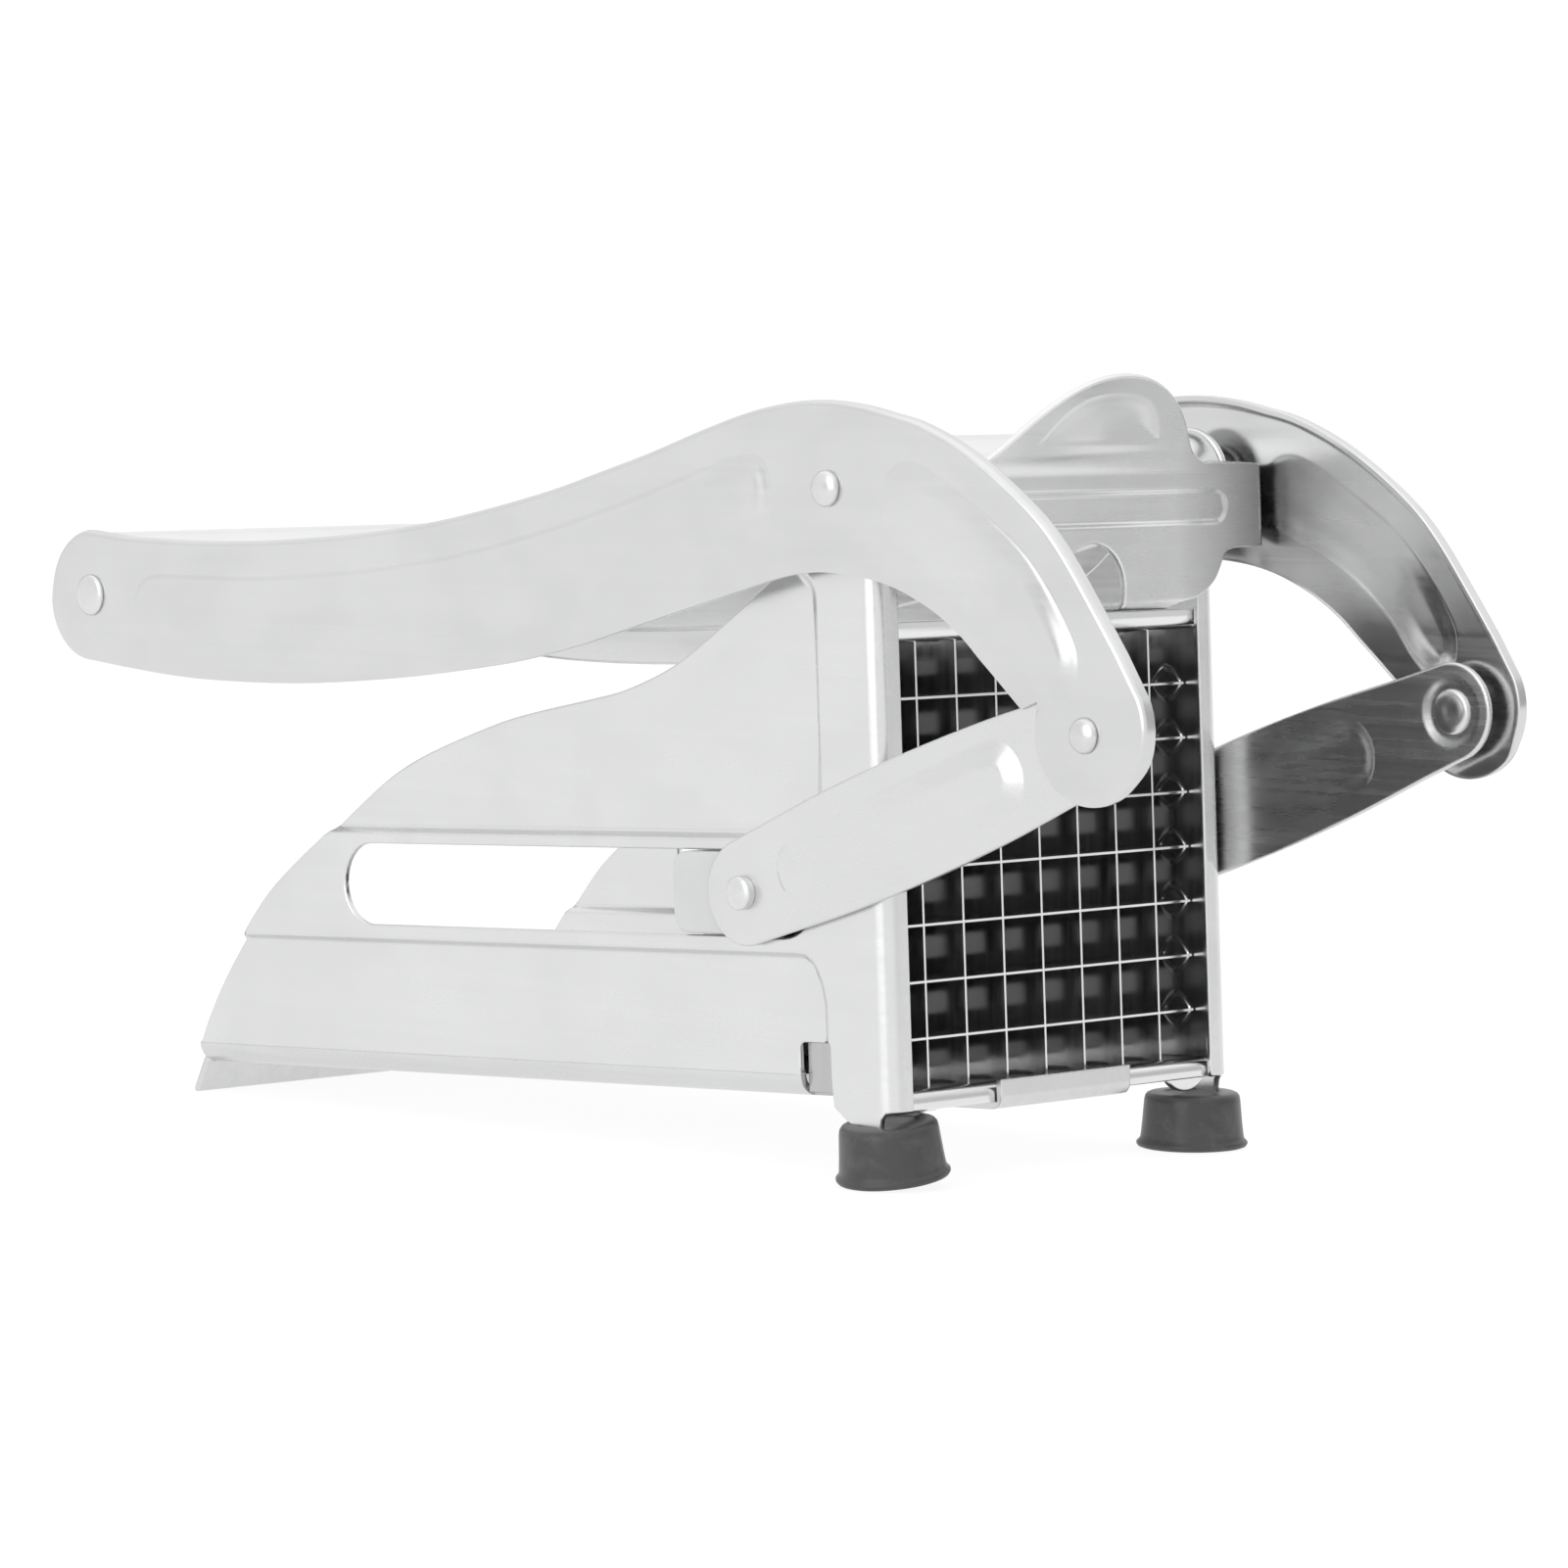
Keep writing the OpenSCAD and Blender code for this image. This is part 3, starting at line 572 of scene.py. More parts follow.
def lathe(b, profile, place, n=48, wobble=None):
    """Turned piece: profile is a list of (radius, height, radial share, axial share of the normal)."""
    rings = []
    for k, (r, h, nr, nh) in enumerate(profile):
        if r < 1e-6:
            i = b.add([place(0, 0, h)], [direction(place, (0, 0, nh))])
            rings.append(i * n)
            continue
        pts, nrm = [], []
        for j in range(n):
            a = 2 * math.pi * j / n
            q = 1.0 if wobble is None else wobble(a, r, h)
            pts.append(place(r * q * math.cos(a), r * q * math.sin(a), h))
            nrm.append(direction(place, (nr * math.cos(a), nr * math.sin(a), nh)))
        rings.append(b.add(pts, nrm))
    for a, c in zip(rings, rings[1:]):
        b.strip(a, c)


def direction(place, n):
    o = np.array(place(0, 0, 0))
    v = np.array(place(*n)) - o
    return v / max(1e-9, np.linalg.norm(v))


def finish_piece(ob, mat, body, slot, *nodes):
    ob.data.materials.append(mat)
    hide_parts(*nodes)
    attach(ob, body)
    return ob


BOTH = (("left", False), ("right", True))


def side(u, v, w):
    """Plane of a wall, arm or link: w is measured outwards."""
    return (u, w, v)


# ---------------------------------------------------------------- handle arms
ARM_TOP = [[-178, 57], [-160, 55.9], [-146, 55.5], [-132, 55.6], [-114, 56.2], [-96, 57.6], [-81, 59.6], [-66, 62.1],
           [-54, 64.7], [-42, 67.4], [-30, 70.5], [-19, 73], [-10, 74.2], [-2, 74.4], [6, 73.5], [13, 71.9], [20, 70],
           [28.5, 66.2], [36.5, 61.2], [44.5, 55], [50, 49], [56, 40.6], [60.5, 34]]
ARM_LOW = [[39.8, 25.8], [35, 30.2], [31.3, 33.5], [27.7, 36.8], [23.2, 40], [19, 42.3], [13.5, 44.6], [7.4, 46.2],
           [0, 47.2], [-5.7, 47.4], [-12, 46.8], [-20.3, 45.1], [-34, 42.2], [-48, 39.2], [-60, 36.6], [-72, 34.6],
           [-84, 33.2], [-107, 31.5], [-133, 30.8], [-160, 31.8], [-180, 34]]
REAR_FIELD = [[-176, 46], [-172, 49.6], [-160, 49.6], [-146, 49], [-132, 49.1], [-114, 49.7], [-96, 51.1], [-81, 53], [-66, 55.6],
              [-54, 58.1], [-42, 60.9], [-30, 64], [-20, 66], [-15, 65], [-13.6, 60], [-15.2, 54.6], [-22, 51.4], [-34, 48.6], [-48, 45.6],
              [-60, 43], [-72, 40.8], [-84, 39.2], [-107, 37.7], [-133, 37.1], [-160, 37.8], [-172, 40], [-176, 43]]
FRONT_FIELD = [[11.6, 57], [12.6, 62], [17, 64], [23, 62], [32.5, 56.2], [40.5, 50.4], [45.5, 45], [50, 38.4], [52, 33.8],
               [51.2, 29.2], [47.2, 27.2], [43.2, 30], [38, 37], [31, 43.2], [24.5, 47.2], [17, 50.6], [13, 53]]
arm_line = ccw(tidy(open_curve(ARM_TOP, 4) + arc((54, 22.5), 11.6, 24, -202, 40) + open_curve(ARM_LOW, 4) + arc(PG, 11.6, 261, 95, 36)))
rear_line = ccw(even(loop_curve(REAR_FIELD, 12), 1.1))
front_line = ccw(even(loop_curve(FRONT_FIELD, 12), 0.9))


def press(d, wide, deep, crease=0.20):
    """Height of a pressed field at a distance d inside its outline: a crease at the outline, then a soft shoulder."""
    t = np.clip((d + 0.25) / wide, 0, 1)
    return deep * (crease * smooth((d + 0.25) / 0.7) + (1 - crease) * smooth(t))


def arm_height(p):
    x = p[:, 0]
    dr, df = signed(p, rear_line), signed(p, front_line)
    rear = 0.09 * smooth((dr + 0.3) / 0.7) + 0.03 * smooth(dr / 5.0) + 0.45 * smooth(dr / 3.4) * smooth((x + 31) / 12)
    front = (0.20 + 0.60 * smooth((x - 39) / 12)) * smooth((df + 0.25) / 4.0) + (0.04 + 0.13 * smooth((x - 24) / 18)) * smooth((df + 0.25) / 0.8)
    roll = 0.05 * np.sin(x / 17.0 + p[:, 1] / 11.0) + 0.035 * np.sin(x / 9.0 - p[:, 1] / 6.5 + 1.3)
    return rear + front + roll * smooth((signed(p, arm_line) - 1.2) / 4.0)


def rings(line, insets):
    d, m = inward(line)
    return [line + d * (m * k)[:, None] for k in insets]


def arm_rim(ring):
    """The rim is deep along the top and round the front end, and shallow along the lower edge."""
    d, m = inward(ring)
    return 0.15 + 0.85 * smooth((-d[:, 1] + 0.8 * np.maximum(0, -d[:, 0]) + 0.25) / 0.6)


arm_lines = rings(rear_line, (-0.6, -0.35, -0.1, 0.15, 0.5, 1.0, 1.6, 2.3, 3.1)) + rings(front_line, (-0.6, -0.35, -0.1, 0.15, 0.5, 1.0, 1.6, 2.3, 3.1, 3.9, 4.7))
for name, flip in BOTH:
    b = Builder()
    pressed(b, arm_line, 1.2, rim_edge(1.2, 0.95, 2.5), lambda u, v, w: (u, 44.7 + w, v), arm_height, lines=arm_lines, step=1.7, soft_edge=arm_rim)
    finish_piece(b.object("arm_" + name, flip), MATS["arm"], "handle", "arm", "handle_arm_" + name)

# ---------------------------------------------------------------- links
link_turn = math.atan2(PA[1] - PB[1], PA[0] - PB[0])
link_long = math.hypot(PA[0] - PB[0], PA[1] - PB[1])
link_line = ccw(tidy(arc((0, 0), 8.6, 270, 90, 28) + open_curve([[8, 9.1], [22, 9.9], [40, 10.2], [58, 9.7], [74, 8.5]], 6)
                     + arc((link_long, 0), 8, 88, -88, 28) + open_curve([[74, -8.5], [58, -9.7], [40, -10.2], [22, -9.9], [8, -9.1]], 6)))
link_field = ccw(even(loop_curve([[8.6, 0], [9.6, 3], [13, 4.6], [30, 5.6], [48, 6.2], [58, 6.2], [63.4, 5.0], [65.6, 0],
                                  [63.4, -5.0], [58, -6.2], [48, -6.2], [30, -5.6], [13, -4.6], [9.6, -3]], 12), 0.9))


def link_height(p):
    d = signed(p, link_field)
    u = p[:, 0]
    soft = press(d, 4.6, 1.0) * (0.12 + 0.30 * smooth((u - 30) / 28))
    bulge = soft + 0.80 * smooth((d + 0.1) / 4.0) * smooth((u - 40) / 16) + 0.13 * smooth((d + 0.1) / 0.7) * smooth((u - 58) / 5) + 0.26 * smooth((d + 0.1) / 0.7) * smooth((13.5 - u) / 4.0)
    r = np.hypot(u - link_long, p[:, 1])
    boss = 0.34 * smooth((6.1 - r) / 2.0)
    return bulge + boss - 0.22 * smooth((u - 14) / 30) + 0.03 * np.sin(u / 9.0)


def link_place(u, v, w):
    return (PB[0] + u * math.cos(link_turn) - v * math.sin(link_turn), 41.6 + w, PB[1] + u * math.sin(link_turn) + v * math.cos(link_turn))


link_rings = rings(link_field, (-0.6, -0.35, -0.1, 0.15, 0.5, 1.0, 1.6, 2.3, 3.1, 4.0)) + [np.array(arc((link_long, 0), r, 0, 350, 35)) for r in (4.1, 4.5, 4.9, 5.3, 5.7, 6.2, 6.8)]
for name, flip in BOTH:
    b = Builder()
    pressed(b, link_line, 1.2, flat_edge(1.2, 0.5), link_place, link_height, lines=link_rings, step=1.6)
    finish_piece(b.object("link_plate_" + name, flip), MATS["link"], "link_l" if name == "left" else "link_r", "link", "link_" + name)


# ---------------------------------------------------------------- side walls
REAR_EDGE = [[-20.5, 46.8], [-32, 39.8], [-44, 33.2], [-56, 29.2], [-65.5, 27.5], [-80, 25.3], [-90, 23.2],
             [-105.5, 18.8], [-116, 14.6], [-125, 9.4], [-131.5, 5.3], [-140.5, -0.2], [-148.5, -5.8],
             [-155.8, -13], [-163, -21.2], [-168, -28.3], [-170.4, -32.6]]
wall_line = ccw(tidy(split_long(tidy(
    [(-170.4, -32.6), (-17.8, -32.6), (-17.8, -28.2), (-17.5, -27.6), (-16.9, -27.4), (-9.7, -27.4), (-9.4, -27.7), (-9.4, -32.4),
     (-9.1, -35.6), (-8.9, -37.3), (-5.3, -40), (-4.9, -40.6), (-4.4, -44), (1.2, -44), (1.5, -40.2), (1.8, -38.9), (2.6, -38.1),
     (3.6, -38), (7.6, -38), (7.93, -37.7), (7.93, 47.2), (7.5, 47.9), (2.1, 49.2), (1.5, 49.7), (1.8, 50.5), (4.6, 51.9), (6.9, 55)]
    + arc(PO, 8.5, 20, 175, 30) + [(-10.6, 57), (-13.6, 52)] + open_curve(REAR_EDGE, 4)), 1.6)))
slot_line = ccw(split_long(tidy(obround((-120.5, -3.65), (-19.0, -3.65), 6.9, 16)), 2.0))
upper_line = ccw(np.array([(-260, 5.3), (-13.5, 5.3), (-11.4, 6.2), (-10.1, 8.2), (-9.7, 11), (-9.7, 41)] + [tuple(q) for q in arc((-14.7, 43), 5, 0, 62, 8)] + [(-40, 70), (-260, 70)], float))
lower_line = ccw(np.array([(-260, -13), (-14.6, -13), (-12.9, -13.6), (-11.8, -14.6), (-10.3, -17.4), (-9.5, -21), (-9.4, -60), (-260, -60)], float))


def wall_height(p):
    soft = 1.25 + 3.0 * smooth(1 - np.hypot(p[:, 0] + 11.0, p[:, 1] - 7.0) / 13.0) + 1.3 * smooth((p[:, 1] - 9.0) / 6.0)
    up = signed(p, upper_line)
    lo = signed(p, lower_line)
    sink = 1.6 * smooth((up + 0.35 * soft) / (1.1 * soft)) + 1.6 * smooth((lo + 0.3) / (1.3 + 1.5 * smooth((p[:, 0] + 17.0) / 5.0)))
    wave = 0.05 * np.sin(p[:, 0] / 21.0 + 0.6) * np.sin(p[:, 1] / 15.0 + 0.4)
    edge = smooth((p[:, 1] + 32.6) / 6.0) * smooth((1.0 - p[:, 0]) / 6.0)
    return -sink + wave * edge


def wall_place(u, v, w):
    """The wall's front part turns inwards round a bend of 3.2 mm, up to the relief notch under the ear."""
    s = u - 1.1
    if s <= 0 or v > 50.0:
        return (u, 39.6 + w, v)
    if s <= 3.2 * math.pi / 2:
        a = s / 3.2
        return (1.1 + (3.2 + w) * math.sin(a), 36.4 + (3.2 + w) * math.cos(a), v)
    return (4.3 + w, 36.4 - (s - 3.2 * math.pi / 2), v)


def wall_seam(p):
    return np.where((np.abs(p[:, 1] + 32.6) < 0.01) & (p[:, 0] < -17.7), 0.04, 1.0)


wall_lines = []
for x0, z0, x1, z1 in ((-140, 5.3, -17, 5.3), (-162, -13, -17, -13)):
    for k in (-1.5, -1.1, -0.8, -0.5, -0.2, 0.1, 0.4, 0.8, 1.3):
        n_ = int((x1 - x0) / 1.2)
        wall_lines.append(np.array([(x0 + (x1 - x0) * i / n_, z0 + (k if z0 > 0 else -k)) for i in range(n_ + 1)]))
for ring in rings(ccw(even(upper_line, 1.1)), (-1.9, -1.4, -0.9, -0.4, 0.1, 0.6, 1.1, 1.6, 2.2, 2.9)):
    wall_lines.append(ring[(ring[:, 0] > -20) & (ring[:, 1] > 8) & (ring[:, 1] < 53)])
for ring in rings(ccw(even(lower_line, 1.0)), (-0.8, -0.3, 0.2, 0.7, 1.2, 1.8, 2.5)):
    wall_lines.append(ring[(ring[:, 0] > -15.5) & (ring[:, 1] > -31)])
for a in np.arange(0.0, 6.6, 0.5):
    wall_lines.append(np.array([(1.1 + a, z) for z in np.arange(-37.0, 47, 1.5)]))
for name, flip in BOTH:
    b = Builder()
    pressed(b, wall_line, 1.2, flat_edge(1.2, 0.4, 3), wall_place, wall_height, holes=[slot_line], lines=wall_lines, step=2.8, soft_edge=wall_seam)
    finish_piece(b.object("wall_" + name, flip), MATS["wall"], "chassis", "sheet", "side_wall_" + name)


# ---------------------------------------------------------------- latch plate
# drawn unrolled: u runs to the left, v upwards; the lower lip, the tab and the two legs are turned out of the plate
FACE, CURL, LEAN = 13.9, 2.0, math.radians(34)
TAB = [[27.0, -0.3], [24.8, 0.6], [22.6, 2.2], [20.6, 4.5], [18.2, 7.4], [15.2, 10.3], [11.6, 12.9], [7.6, 14.8], [3.8, 15.8], [0, 16.1],
       [-3.6, 15.8], [-7.2, 14.8], [-11, 12.9], [-14.4, 10.3], [-17.4, 7.4], [-19.9, 4.5], [-22, 2.2], [-24.2, 0.6], [-26.8, -0.3]]
RECESS = [[13.4, 3.6], [13.2, 5], [11, 8.6], [7.8, 11.4], [4, 12.6], [0, 12.9], [-4, 12.6], [-7.8, 11.4], [-11, 8.6], [-13.2, 5],
          [-13.4, 3.6], [-6, 3.4], [6, 3.4]]
TOP = 63.27
LEG = 54.44


def latch_half():
    """Right half of the unrolled outline as seen from behind, from the lip's middle round to the tab's tip."""
    out = [(0, 25.2), (18.2, 25.2), (18.5, 38.3), (18.9, 39.7), (20, 40.2)]
    out += [tuple(q) for q in open_curve([[20, 40.3], [24.7, 41.4], [28.3, 43.5], [30.1, 45.8], [31.2, 48.0]], 4)]
    out += [(32.3, 48.7), (34, 49.05), (39.4, 49.2), (42.54, 49.2), (48.4, 51.4)]
    ring = [(LEG - PO[0] - 5.6 * math.cos(math.radians(a)), PO[1] + 5.6 * math.sin(math.radians(a))) for a in range(258, 27, -10)]
    out += ring + [(LEG - 5.2, 62.6), (42.54, 62.6), (39.4, 62.7), (32, 62.95), (29, 63.1)]
    return out


half_line = latch_half()
tab_line = [(u, TOP + v) for u, v in (tuple(q) for q in open_curve(TAB, 4))]
latch_line = ccw(tidy(split_long(tidy(half_line + tab_line + [(-u, v) for u, v in reversed(half_line)]), 1.8)))
latch_gap = ccw(split_long(tidy(arc((0, 43.4), 7.1, 0, 180, 24) + arc((0, 34.2), 7.0, 180, 360, 24)), 1.8))
latch_eyes = [ccw(np.array(arc((s_ * (LEG - PO[0]), PO[1]), 2.56, 0, 348, 29))) for s_ in (1, -1)]
bead_line = ccw(even(obround((-29.6, 55.9), (29.6, 55.9), 3.0, 14), 0.9))
recess_line = ccw(even(loop_curve([[u, TOP + v] for u, v in RECESS], 8), 0.9))


def latch_height(p):
    u, v = np.abs(p[:, 0]), p[:, 1]
    bead = -0.75 * smooth((signed(p, bead_line) + 0.1) / 1.1)
    d = signed(p, recess_line)
    dish = -(0.05 + 0.26 * smooth((p[:, 0] + 3) / 12)) * smooth((d + 0.2) / 3.8) - 0.05 * smooth((d + 0.2) / 0.8)
    flat = smooth((39.0 - u) / 6.0)
    wave = 0.05 * np.sin(p[:, 0] / 7.0 + 0.8) * np.sin(v / 6.0) + 0.04 * np.sin(p[:, 0] / 15.0 - v / 9.0)
    sweep = -0.0036 * np.clip(u - 25.0, 0, 12) ** 2 * smooth((39.4 - u) / 3.0)
    return (bead + dish + wave + sweep) * flat * smooth((v - 41.0) / 4.0)


def latch_place(u, v, w):
    """Unrolled plate to its bent shape; w is measured out of the front skin."""
    s_ = 1.0 if u >= 0 else -1.0
    a = abs(u) - (41.4 - CURL)
    if a > 0:
        if a < CURL * math.pi / 2:
            q = a / CURL
            return (FACE - CURL + (CURL + w) * math.cos(q), s_ * (41.4 - CURL + (CURL + w) * math.sin(q)), v)
        return (FACE - CURL - (a - CURL * math.pi / 2), s_ * (41.4 + w), v)
    low = 41.5 - v
    if low > 0:
        if low < CURL * math.pi / 2:
            q = low / CURL
            return (FACE - CURL + (CURL + w) * math.cos(q), u, 41.5 - (CURL + w) * math.sin(q))
        return (FACE - CURL - (low - CURL * math.pi / 2), u, 41.5 - CURL - w)
    r = 7.0
    start = 63.4 - r * math.tan(LEAN / 2)
    up = v - start
    if up <= 0:
        return (FACE + w, u, v)
    q = min(up / r, LEAN)
    x, z = FACE + r - (r - w) * math.cos(q), start + (r - w) * math.sin(q)
    rest = max(0.0, up - r * LEAN)
    return (x + rest * math.sin(LEAN), u, z + rest * math.cos(LEAN))


latch_rows = rings(bead_line, (-0.4, -0.1, 0.2, 0.5, 0.8, 1.1, 1.5)) + rings(recess_line, (-0.4, 0.0, 0.5, 1.0, 1.6, 2.2, 2.8))
for v_ in list(np.arange(38.2, 42.0, 0.4)) + list(np.arange(61.2, 65.8, 0.6)):
    latch_rows.append(np.array([(u_, v_) for u_ in np.arange(-27, 27.1, 1.5)]))
for u_ in np.arange(39.2, 43.0, 0.4):
    for s_ in (1, -1):
        latch_rows.append(np.array([(s_ * u_, v_) for v_ in np.arange(49.9, 62.4, 1.5)]))
b = Builder()
pressed(b, latch_line, 1.2, flat_edge(1.2, 0.3, 3), latch_place, latch_height, holes=[latch_gap] + latch_eyes, lines=latch_rows, step=2.2)
finish_piece(b.object("latch"), MATS["plate"], "latch", "sheet", "lock_plate")


# ---------------------------------------------------------------- rods, rivets and tubes
def along_y(c):
    return lambda u, v, w: (c[0] + u, w, c[1] + v)


def dome(r, h, base, sign, n=9, flat=1.0):
    out = []
    for k in range(n + 1):
        a = k * math.pi / 2 / n
        rr, hh = r * math.sin(a) ** (1 / flat if flat != 1 else 1), h * math.cos(a)
        nr, nh = math.sin(a) * h, math.cos(a) * r
        m = math.hypot(nr, nh)
        out.append((rr, sign * (base + hh), nr / m, sign * nh / m))
    return out


def headed(r, base, wall, crown, sign, soft=0.12):
    """Head of a rivet, from its top down to its underside: crown, short wall, seat."""
    out = [(rr, h, nr, nh) for rr, h, nr, nh in dome(r - soft, crown, base + wall, sign)[:-1]]
    out += [(r - soft * 0.3, sign * (base + wall - soft * 0.4), 0.85, sign * 0.5), (r, sign * (base + wall - soft * 1.4), 1, 0)]
    return out + [(r, sign * (base + 0.08), 1, 0), (r - 0.08, sign * base, 0.5, -sign * 0.85)]


def rod(b, c, r, head_r, base, wall, crown, soft=0.12):
    """Straight rod with a head at both ends."""
    ends = headed(head_r, base, wall, crown, -1, soft)
    prof = ends + [(r + 0.05, -base, 0, 1), (r, -base + 0.05, 1, 0), (r, base - 0.05, 1, 0), (r + 0.05, base, 0, -1)]
    prof += list(reversed(headed(head_r, base, wall, crown, 1, soft)))
    lathe(b, prof, along_y(c), 60, lambda a, rr, h: 1 + 0.008 * math.sin(3 * a + h) * (rr > 0.6))


b = Builder()
rod(b, PO, 2.5, 2.9, 44.72, 0.55, 0.84)
finish_piece(b.object("main_axle"), MATS["rivet"], "chassis", "rivet", "pivot_axle")
b = Builder()
rod(b, PG, 2.5, 3.65, 44.72, 0.5, 0.4, 0.28)
finish_piece(b.object("grip_axle"), MATS["rivet"], "handle", "rivet", "grip_rod")
b = Builder()
for s in (1, -1):
    prof = [(0, s * 42.35, 0, -s), (2.2, s * 42.35, 0, -s), (2.5, s * 42.6, 1, 0), (2.5, s * 44.68, 1, 0), (2.55, s * 44.72, 0, -s)]
    prof += list(reversed(headed(2.8, 44.72, 0.3, 1.08, s)))
    lathe(b, prof, along_y(PA), 56, lambda a, rr, h: 1 + 0.008 * math.sin(3 * a + h) * (rr > 0.6))
finish_piece(b.object("front_rivet_pair"), MATS["rivet"], "handle", "rivet", "front_rivets")
b = Builder()
rod(b, PB, 2.5, 2.75, 41.64, 1.35, 0.5)
finish_piece(b.object("pusher_pin"), MATS["rivet"], "pusher", "rivet", "pusher_rod")
for name, flip in BOTH:
    b = Builder()
    lathe(b, [(0, 42.0, 0, 1), (3.4, 42.0, 0, 1), (3.7, 41.8, 1, 0), (3.7, 40.35, 1, 0), (3.6, 40.15, 0.7, -0.7), (3.2, 39.98, 0.3, -0.95),
              (2.5, 39.92, 0.1, -1), (1.2, 40.02, -0.05, -1), (0, 40.06, 0, -1)], along_y(PA), 48)
    finish_piece(b.object("link_front_pin_" + name, flip), MATS["rivet"], "link_l" if name == "left" else "link_r", "rivet", "link_pin_" + name)


def tube(b, c, r, t, half, n=72):
    e = 0.3
    prof = [(r - t, -half + e, -1, 0), (r - t + e, -half, 0, -1), (r - e, -half, 0, -1), (r - e * 0.3, -half + e * 0.3, 0.7, -0.7), (r, -half + e, 1, 0),
            (r, half - e, 1, 0), (r - e * 0.3, half - e * 0.3, 0.7, 0.7), (r - e, half, 0, 1), (r - t + e, half, 0, 1), (r - t, half - e, -1, 0), (r - t, -half + e, -1, 0)]
    lathe(b, prof, along_y(c), n)


b = Builder()
tube(b, PG, 11.0, 1.2, 42.28)
finish_piece(b.object("grip"), MATS["tube"], "handle", "tube", "grip_tube")
b = Builder()
tube(b, PO, 8.0, 1.2, 38.38)
finish_piece(b.object("spacer_tube"), MATS["tube"], "chassis", "tube", "cross_tube")

# ---------------------------------------------------------------- rubber feet
RUBBER = [(0, 0, 0, -1), (7.4, 0, 0, -1), (8.3, 0.05, 0.2, -1), (8.9, 0.25, 0.6, -0.8), (9.2, 0.65, 1, -0.1), (9.18, 1.0, 1, 0.3), (8.9, 1.3, 0.7, 0.7),
          (8.62, 1.55, 0.9, 0.35), (8.5, 2.2, 1, 0.1), (8.3, 4.0, 1, 0.09), (8.1, 6.2, 1, 0.09), (7.95, 7.9, 1, 0.12), (7.8, 8.6, 0.9, 0.4),
          (7.5, 9.0, 0.55, 0.85), (7.0, 9.2, 0.15, 1), (5.0, 9.22, 0, 1), (4.6, 9.0, 0, 1), (0, 9.0, 0, 1)]


def ground_z(x):
    return (-GROUND - x * math.sin(TILT)) / math.cos(TILT)


def upright(u, v, w):
    c, s = math.cos(TILT), math.sin(TILT)
    return (-0.5 + u * c + w * s, 34.5 + v, ground_z(-0.5) - u * s + w * c)


def leaning(u, v, w):
    a = math.radians(8)
    v, w = v + 8.3, w
    v, w = v * math.cos(a) - w * math.sin(a), v * math.sin(a) + w * math.cos(a)
    c, s = math.cos(TILT), math.sin(TILT)
    return (-0.5 + u * c + w * s, -34.5 - 8.8 + v, ground_z(-0.5) - u * s + w * c)


b = Builder()
lathe(b, RUBBER, upright, 64, lambda a, r, h: 1 + 0.004 * math.sin(5 * a) * (h < 1.4))
finish_piece(b.object("rubber_foot_left"), MATS["rubber"], "chassis", "rubber", "foot_left")
b = Builder()
lathe(b, RUBBER, leaning, 64, lambda a, r, h: 1 + 0.006 * math.sin(4 * a + 1) * (h < 1.4))
finish_piece(b.object("rubber_foot_right"), MATS["rubber"], "chassis", "rubber", "foot_right")


# ---------------------------------------------------------------- pusher block
def boxes(name, list_, width, segments=3):
    """Boxes with rounded edges, each (x0, x1, y0, y1, z0, z1, rise of the lower rear edge) in the working frame."""
    verts, faces = [], []
    for x0, x1, y0, y1, z0, z1, dz in list_:
        i = len(verts)
        verts += [row(p) for p in ((x0, y0, z0 + dz), (x1, y0, z0), (x1, y1, z0), (x0, y1, z0 + dz), (x0, y0, z1), (x1, y0, z1), (x1, y1, z1), (x0, y1, z1))]
        faces += [tuple(i + k for k in f) for f in ((0, 3, 2, 1), (4, 5, 6, 7), (0, 1, 5, 4), (1, 2, 6, 5), (2, 3, 7, 6), (3, 0, 4, 7))]
    me = bpy.data.meshes.new(name)
    me.from_pydata(verts, [], faces)
    me.update()
    me.polygons.foreach_set("use_smooth", [True] * len(me.polygons))
    ob = bpy.data.objects.new(name, me)
    scene.collection.objects.link(ob)
    m = ob.modifiers.new("round", "BEVEL")
    m.width = width / 1000.0
    m.segments = segments
    m.harden_normals = True
    m.limit_method = "ANGLE"
    return ob


CELL = 9.0
pins = [(-29.7, -21.5, -35, 35, -32.8, 35, 1.6)]
for j in range(8):
    for k in range(8):
        y, z = (j - 3.5) * CELL, (k - 3.5) * CELL
        h = (3.8 if 0 < k < 7 else 2.8) / 2
        pins.append((-22.6, -10.5, y - 2.55, y + 2.55, z - h, z + h, 0))
finish_piece(boxes("pusher_body", pins, 0.55), MATS["pusher"], "pusher", "pusher", "pusher_block")

# ---------------------------------------------------------------- blade frame
def diamond(c, wide, tall):
    n = 5
    pts = [(c[0] - wide, c[1]), (c[0], c[1] + tall), (c[0] + wide, c[1]), (c[0], c[1] - tall)]
    out = []
    for i in range(4):
        p0, p1 = np.array(pts[i]), np.array(pts[(i + 1) % 4])
        mid_ = (p0 + p1) / 2
        bow = (mid_ - np.array(c)) * 0.16
        out += [p0 + (p1 - p0) * k / n + bow * math.sin(math.pi * k / n) for k in range(n)]
    return ccw(np.array(out))


def staked(p, marks):
    """Skin round the staked blade ends: a raised rim with a dished middle."""
    h = np.zeros(len(p))
    for m in marks:
        d = signed(p, m)
        h += 0.30 * smooth((d + 0.55) / 0.6) - 0.36 * smooth((d - 0.1) / 0.6)
    return h


